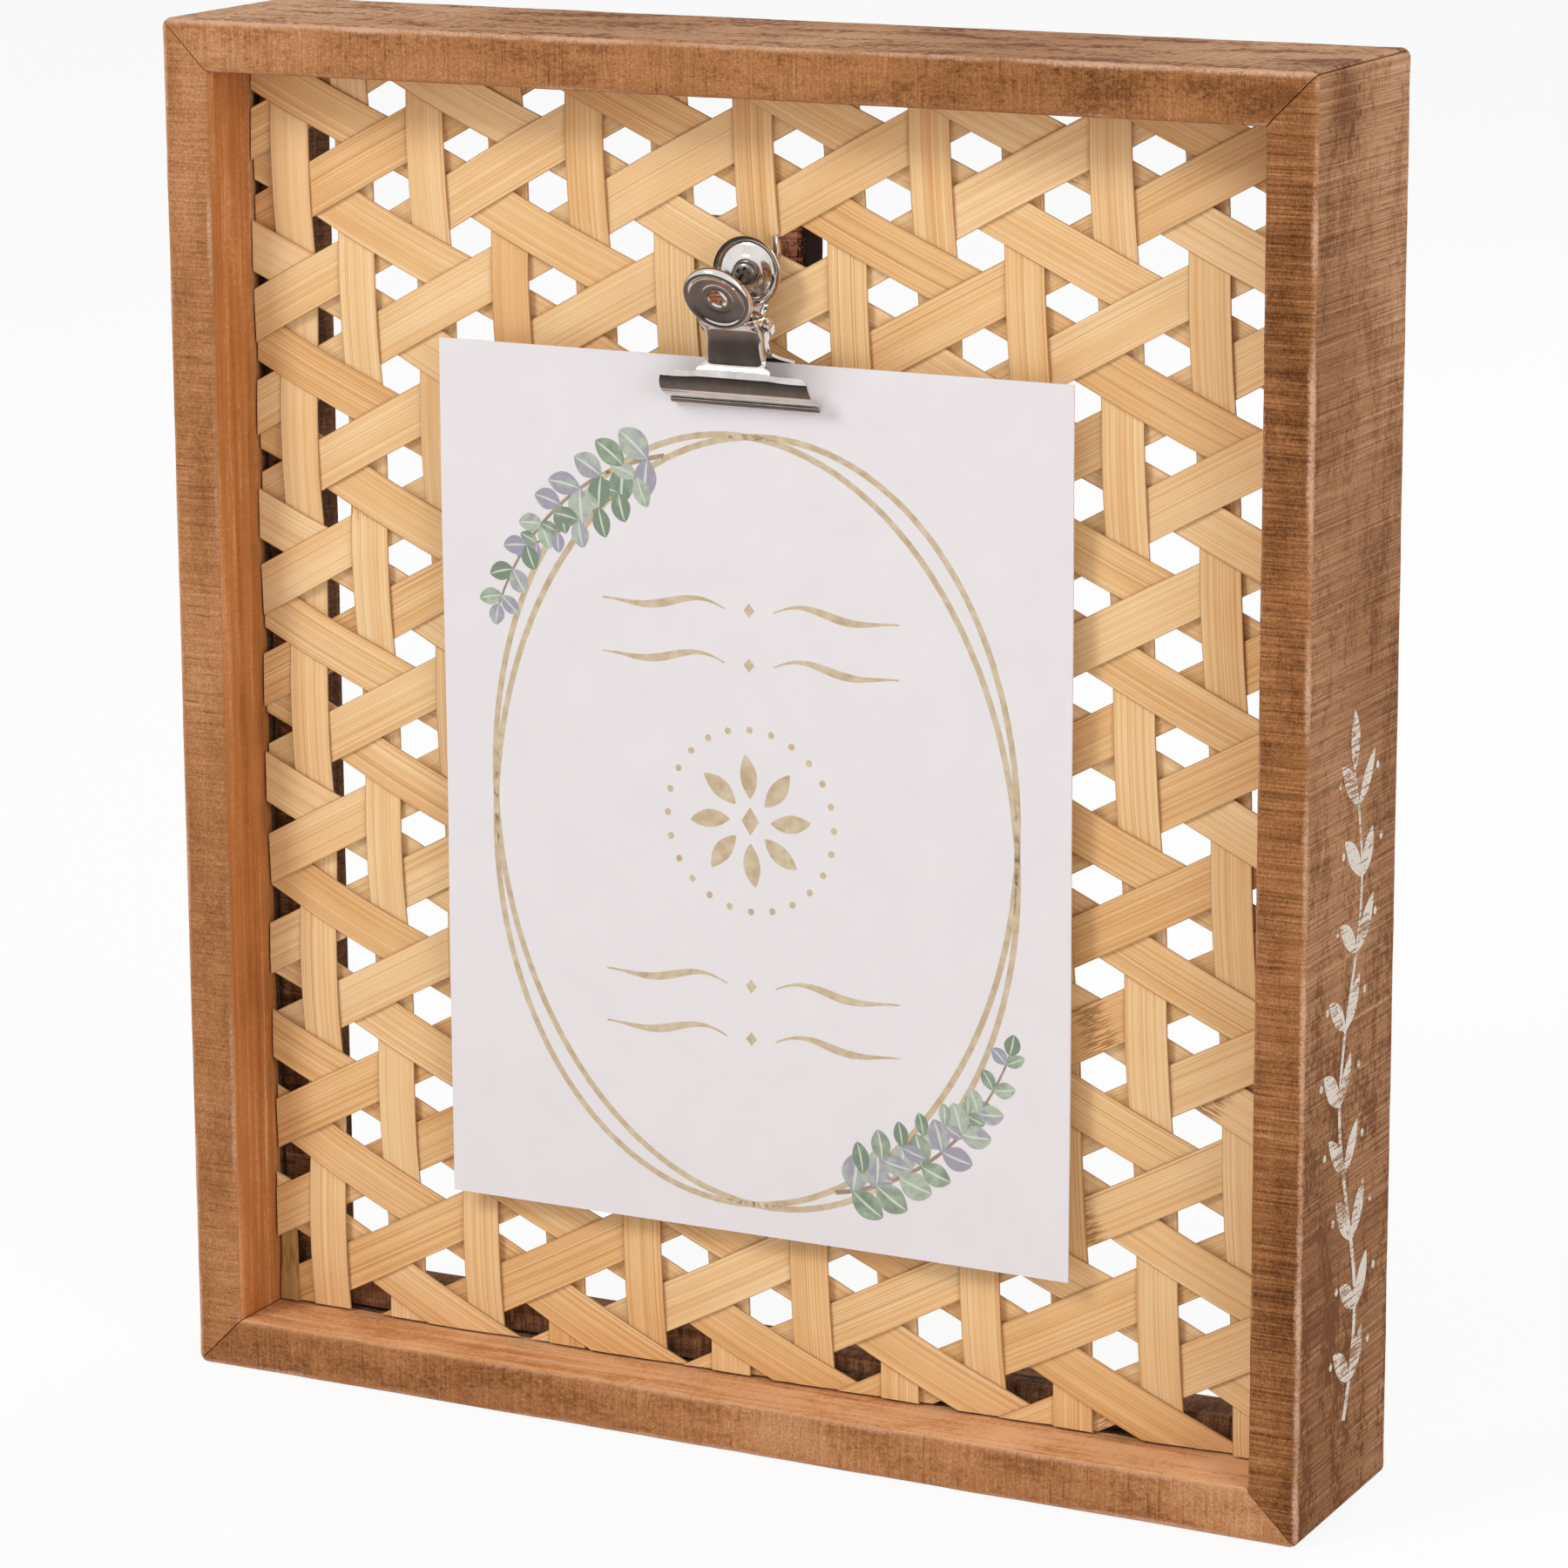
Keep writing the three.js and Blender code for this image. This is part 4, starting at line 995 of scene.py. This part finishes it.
def makeSpring(material):
    c = clipSizes
    y, z = c["pivot"]
    half, radius = c["springTurns"] * c["springPitch"] / 2, c["springRadius"]
    points = [(-half, y + radius, z + c["springBackLeg"])]
    for i in range(24 * c["springTurns"] + 1):
        turn = i / 24
        points.append((c["springPitch"] * turn - half, y + radius * cos(2 * pi * turn),
                       z - radius * sin(2 * pi * turn)))
    lean = radians(c["angle"] / 2 - c["springBite"])
    points.append((half, y + radius + c["springFrontLeg"] * sin(lean), z - c["springFrontLeg"] * cos(lean)))
    spring = makeWire("spring_of_clip", points, c["springWire"])
    settleOnClip(spring, material, 60, "clip_spring")


def makeScrew(material):
    c = clipSizes
    screw = turnProfile(c["screw"], 40)
    width, length, depth, turn = c["recess"]
    cutters = []
    for size in ((width, depth, length), (length, depth, width)):
        deselectAll()
        bpy.ops.mesh.primitive_cube_add(size=1, location=(0, -1.3, 0), rotation=(0, radians(turn), 0))
        cutters.append(startPiece("recess", size))
        cut = screw.modifiers.new("recess", "BOOLEAN")
        cut.operation = "DIFFERENCE"
        cut.object = cutters[-1]
    applyModifiers(screw)
    selectOnly(*cutters)
    bpy.ops.object.delete()
    for vertex in screw.data.vertices:
        vertex.co += Vector((0, c["screwSeat"], c["loopReach"]))
    screw.name = "screw_of_clip"
    settleOnClip(screw, material, 35, "clip_screw")


# A staple in the block, beside the clip's back loop
def makeStaple(material):
    x, y, low, high, leg, width = clipSizes["staple"]
    staple = makeWire("staple_of_block", [(x, y + leg, low), (x, y, low), (x, y, high), (x, y + leg, high)],
                      width)
    for vertex in staple.data.vertices:
        vertex.co *= mm
        vertex.co.y += frontY
    settle(staple, material, 50)


# A cloudy colour and, where it has one, a relief: the size of a noise, its detail, strength and depth in mm
def cloudyFinish(name, look):
    material, tree, shader = newMaterial(name, look["roughness"], look["metallic"], look["specular"])
    place = addNode(tree, "TexCoord").outputs["Object"]
    scale, detail = look["cloud"]
    cloud = addNode(tree, "TexNoise", {"Vector": place, "Scale": scale, "Detail": detail})
    colour = addNode(tree, "ValToRGB", {0: cloud}, stops=look["stops"])
    scale, detail, strength, relief = look["relief"]
    grain = addNode(tree, "TexNoise", {"Vector": place, "Scale": scale, "Detail": detail}) if relief else None
    dress(tree, shader, colour, grain, relief, strength)
    return material


finishes = {
    # Nickel plate on spring steel: bright and smooth, with the slight ripple of the pressing
    "nickel_plated_steel": {
        "roughness": 0.1, "metallic": 1.0, "specular": 0.5, "cloud": (260.0, 3.0),
        "stops": [(0.35, "#CCC5C0"), (0.65, "#E4DEDA")], "relief": (260.0, 3.0, 0.3, 0.03)},
    # Steel wire and screw under a film of oil: grey-brown and a little smeared
    "oiled_steel": {
        "roughness": 0.3, "metallic": 1.0, "specular": 0.5, "cloud": (900.0, 3.0),
        "stops": [(0.35, "#625B55"), (0.65, "#928A82")], "relief": (0, 0, 0, 0)},
    # Uncoated card stock: off-white, matt, with the faint cloudiness of pressed fibres
    "uncoated_card_stock": {
        "roughness": 0.85, "metallic": 0.0, "specular": 0.15, "cloud": (90.0, 4.0),
        "stops": [(0.3, "#E1DBDD"), (0.7, "#E4DEE0")], "relief": (2500.0, 2.0, 0.5, 0.02)},
}

nickel, steel, cardStock = (cloudyFinish(name, look) for name, look in finishes.items())
makePlate("clip_back", "clip_back_plate", "root", 1, clipSizes["backExtra"], nickel)
makePlate("clip_front", "clip_front_plate", "front_jaw", -1, 0.0, nickel)
makePin(nickel)
makeSpring(steel)
makeScrew(steel)
makeStaple(nickel)
for name in ("sawtooth_hanger", "hanger_nail_1", "hanger_nail_2", *(f"corner_brad_{i}" for i in range(1, 9))):
    nodes[name].data.materials.clear()
    nodes[name].data.materials.append(steel if "brad" in name else nickel)
print("clip and metal are made")


cardSizes = {
    "cellsWide": 40, "cellsHigh": 50, "thickness": 0.38,
    "wave": 0.35, "calm": 22,  # how far it waves, and how much of its top the clip holds flat
    "waves": ((48, 0, 0.6), (0, 31, 1.1), (25, 74, 0)),  # radians per metre across and up, start
}


def cardWave(x, z, top):
    free = clamp((top - z) / (cardSizes["calm"] * mm) - 0.4)
    across, up, ripple = (sin(x * right + z * high + begin) for right, high, begin in cardSizes["waves"])
    return free * (across * up + 0.5 * ripple) * cardSizes["wave"] * mm / 1.5


def addCard():
    low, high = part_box("card")
    deselectAll()
    bpy.ops.mesh.primitive_grid_add(
        x_subdivisions=cardSizes["cellsWide"], y_subdivisions=cardSizes["cellsHigh"], size=1,
        location=(low + high) / 2, rotation=(pi / 2, 0, 0))
    card = startPiece("clipped_card", (high.x - low.x, high.z - low.z, 1))
    for vertex in card.data.vertices:
        vertex.co.y += cardWave(vertex.co.x, vertex.co.z, high.z)
    thicken(card, cardSizes["thickness"] * mm)
    settle(card, cardStock, 30, "card", ["card"])


# A stroke of print: a band along a line, with its width at each share of the way, in millimetres
def drawStroke(line, width, cells=14, level=0.0):
    deselectAll()
    bpy.ops.mesh.primitive_grid_add(size=2, x_subdivisions=2, y_subdivisions=cells)
    stroke = bpy.context.object
    sides = []
    for vertex in stroke.data.vertices:
        share = (vertex.co.y + 1) / 2
        ahead = Vector(line(share + 0.01)) - Vector(line(share - 0.01))
        across = Vector((-ahead.y, ahead.x)).normalized()
        point = Vector(line(share)) + across * vertex.co.x * max(0.03, width(share) / 2)
        sides.append(vertex.co.x)
        vertex.co = (point.x, point.y, level)
    giveValues(stroke, side=sides)
    return stroke


# Widths of a stroke: swelling like a leaf, or with straight sides to a point at each end
def swell(wide, power=0.8):
    return lambda share: wide * sin(pi * clamp(share)) ** power


def diamond(wide):
    return lambda share: wide * (1 - abs(2 * clamp(share) - 1))


def oval(middle, radii, lean):
    turn = radians(lean)

    def line(share):
        a, b = radii[0] * cos(2 * pi * share), radii[1] * sin(2 * pi * share)
        return middle[0] + a * cos(turn) - b * sin(turn), middle[1] + a * sin(turn) + b * cos(turn)
    return line


# A stem that curves from its foot, and the place of a leaf on it
def stemLine(foot, heading, length, curl):
    def line(share):
        angle = radians(heading) + radians(curl) * share / 2
        return foot[0] + length * share * cos(angle), foot[1] + length * share * sin(angle)
    return line


def leafLine(foot, heading, length):
    return stemLine(foot, heading, length, 14)


printSizes = {
    "lineWidth": 1.15, "height": 0.03,
    "ovals": (((0, -4), (53, 72), 6), ((0, -4), (53, 72), -6)),
    # foot, heading, length and curl of each sprig, its leaves, their length and width
    "sprigs": (((-17, 63), 190, 46, 62, 9, (7.6, 5.4)), ((-20, 61), 222, 30, -16, 6, (6.6, 4.2)),
               ((17, -71), 10, 46, 62, 9, (7.6, 5.4)), ((20, -69), 42, 30, -16, 6, (6.6, 4.2))),
    "middle": -3,  # height of the ring's middle
    "ring": (17, 24, 1.3),  # radius, number and size of the dots in the middle
    "petals": (8, 4.2, 8.2, 3.4),  # number, where they begin, length and width
    "flourishes": (36, 26, -34, -44), "flourish": (5, 25, 1.9),
}


def drawSprigs(chance):
    leaves, stems = [], []

    def addLeaf(foot, heading, length, wide, level=0.0):
        leaf = drawStroke(leafLine(foot, heading, length), swell(wide, 0.7), level=level)
        giveValues(leaf, tone=[chance.random()] * len(leaf.data.vertices))
        leaves.append(leaf)

    for foot, heading, length, curl, count, (long, wide) in printSizes["sprigs"]:
        stem = stemLine(foot, heading, length, curl)
        stems.append(drawStroke(stem, lambda share: 0.9 - 0.5 * share, 20))
        for i in range(count):
            share = (i + 0.7) / count
            size = 1.0 - 0.45 * share + chance.uniform(-0.08, 0.08)
            for hand in (-1, 1):
                turn = heading + curl * share + hand * chance.uniform(48, 66)
                wideness = wide * size * chance.uniform(0.85, 1.1)
                addLeaf(stem(share), turn, long * size, wideness, chance.uniform(0.004, 0.03))
        addLeaf(stem(1.0), heading + curl, long * 0.55, 3.2)
    return leaves, stems


def drawOrnament():
    p = printSizes
    strokes = [drawStroke(oval(*shape), lambda share: p["lineWidth"], 120) for shape in p["ovals"]]
    radius, count, size = p["ring"]
    for i in range(count):
        angle = 2 * pi * i / count
        foot = (radius * cos(angle) - size / 2, p["middle"] + radius * sin(angle))
        strokes.append(drawStroke(lambda share: (foot[0] + size * share, foot[1]), swell(size, 0.5), 8))
    count, begin, long, wide = p["petals"]
    for i in range(count):
        angle = 2 * pi * i / count
        foot = (begin * cos(angle), p["middle"] + begin * sin(angle))
        strokes.append(drawStroke(leafLine(foot, 360 * i / count, long), swell(wide)))
    strokes.append(drawStroke(lambda share: (0, p["middle"] - 2.6 + 5.2 * share), diamond(3.6), 8))
    begin, long, swing = p["flourish"]
    for height in p["flourishes"]:
        for hand in (-1, 1):
            strokes.append(drawStroke(
                lambda share: (hand * (begin + long * share),
                               height + swing * sin(2 * pi * share) * (1 - share)),
                lambda share: 0.3 + swell(1.2, 2)(share), 24))
        strokes.append(drawStroke(lambda share: (0, height - 1.3 + 2.6 * share), diamond(2.2), 6))
    return strokes


# Printing ink on card: thin, matt and slightly cloudy, like watercolour.
def printedInk(name, stops, vein=None):
    material, tree, shader = newMaterial(name, 0.8, specular=0.15)
    place = addNode(tree, "TexCoord").outputs["Object"]
    cloud = addNode(tree, "TexNoise", {"Vector": place, "Scale": 420.0, "Detail": 4.0})
    tone = addNode(tree, "Attribute", attribute_name="tone").outputs["Fac"]
    tone = mixTones(tree, [(cloud, 0.9), (tone, 0.8 if vein else 0.0)])
    colour = addNode(tree, "ValToRGB", {0: tone}, stops=stops)
    if vein:
        side = addNode(tree, "Attribute", attribute_name="side").outputs["Fac"]
        side = addNode(tree, "Math", {0: side}, operation="ABSOLUTE")
        middle = addNode(tree, "MapRange", {"Value": side, "From Min": 0.16, "From Max": 0.04})
        colour = addNode(tree, "Mix", {"Factor": middle, "A": colour, "B": vein}, data_type="RGBA")
    dress(tree, shader, colour)
    return material


# Lays the drawn strokes on the card's front and gives them the thickness of ink
def layOnCard(strokes, name, material):
    low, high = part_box("card")
    middle = (low + high) / 2
    ink = joinPieces(strokes, name)
    for vertex in ink.data.vertices:
        x, z = middle.x + vertex.co.x * mm, middle.z + vertex.co.y * mm
        proud = cardSizes["thickness"] / 2 + printSizes["height"] / 2 + vertex.co.z
        y = middle.y - proud * mm + cardWave(x, z, high.z)
        vertex.co = (x, y, z)
    faceOutwards(ink)
    thicken(ink, printSizes["height"] * mm)
    settle(ink, material, body="card")


def addPrint():
    leaves, stems = drawSprigs(random.Random(5))
    green = printedInk("sage_printing_ink", [(0.2, "#7C8C79"), (0.42, "#98A591"), (0.6, "#B3BCAA"),
                                             (0.8, "#9F9AA8")], vein="#CDD3C6")
    gold = printedInk("gold_printing_ink", [(0.3, "#B79F7E"), (0.7, "#D6C6AC")])
    brown = printedInk("brown_printing_ink", [(0.3, "#8D7A6C"), (0.7, "#B09C8A")])
    layOnCard(drawOrnament(), "print_ovals", gold)
    layOnCard(stems, "print_stems", brown)
    layOnCard(leaves, "print_leaves", green)


paintSizes = {
    "low": 17, "high": 136, "waves": 1.5, "sway": 4.5, "stem": 1.6, "count": 9,
    "leaf": (11, 4.2), "turn": (34, 48), "spread": (0.85, 1.1), "lift": 0.05, "height": 0.04,
    "dot": (9, 5.5, 1.5),  # out from the stem, up from its leaf, and size
}


def vineLine(share):
    p = paintSizes
    return p["sway"] * sin(2 * pi * p["waves"] * share), p["low"] + (p["high"] - p["low"]) * share


# A leafy vine in white along the lower half of the right side, painted with a nearly dry brush
def addVine():
    p = paintSizes
    chance = random.Random(11)
    low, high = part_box("right_board")
    strokes = [drawStroke(vineLine, lambda share: p["stem"] * (1 - 0.5 * share), 90)]
    reach, up, size = p["dot"]
    for i in range(p["count"]):
        foot = vineLine((i + 0.5) / p["count"])
        for hand in (-1, 1):
            turn = 90 + hand * chance.uniform(*p["turn"])
            long, wide = (part * chance.uniform(*p["spread"]) for part in p["leaf"])
            strokes.append(drawStroke(leafLine(foot, turn, long), swell(wide)))
            x, y = foot[0] - hand * reach, foot[1] + up
            strokes.append(drawStroke(lambda share: (x + size * (share - 0.5), y), swell(size, 0.5), 8))
    long, wide = p["leaf"]
    strokes.append(drawStroke(leafLine(vineLine(1), 84, long), swell(wide)))
    vine = joinPieces(strokes, "painted_vine")
    for vertex in vine.data.vertices:
        vertex.co = (high.x + mm, (low.y + high.y) / 2 + vertex.co.x * mm, low.z + vertex.co.y * mm)
    wrap = vine.modifiers.new("on the wood", "SHRINKWRAP")
    wrap.target = bpy.data.objects["right_side"]
    wrap.wrap_mode = "ABOVE_SURFACE"
    wrap.offset = p["lift"] * mm
    thicken(vine, p["height"] * mm)
    settle(vine, dryPaint())


# White paint off a nearly dry brush: broken where the saw marks are deep, with the brown wood between.
def dryPaint():
    material, tree, shader = newMaterial("white_paint_dry_brushed", 0.7, specular=0.2)
    rows = {name: (size, 3.0, 0.5) for name, size in (
        ("marks", (20, 9, 0.35)), ("specks", (0.5, 0.5, 0.5)), ("clouds", (9, 9, 9)))}
    texture = layTextures(tree, addNode(tree, "TexCoord").outputs["Object"], rows)
    cover = mixTones(tree, [(texture["marks"], 1.0), (texture["specks"], 0.7), (texture["clouds"], 0.8)])
    bare = addNode(tree, "MapRange", {"Value": cover, "From Min": 0.48, "From Max": 0.38})
    colour = addNode(tree, "Mix", {"Factor": bare, "A": "#DDD2C6", "B": "#9C7454"}, data_type="RGBA")
    dress(tree, shader, colour, cover, 0.1)
    return material


addCard()
addPrint()
addVine()
print("card and painted vine are made")
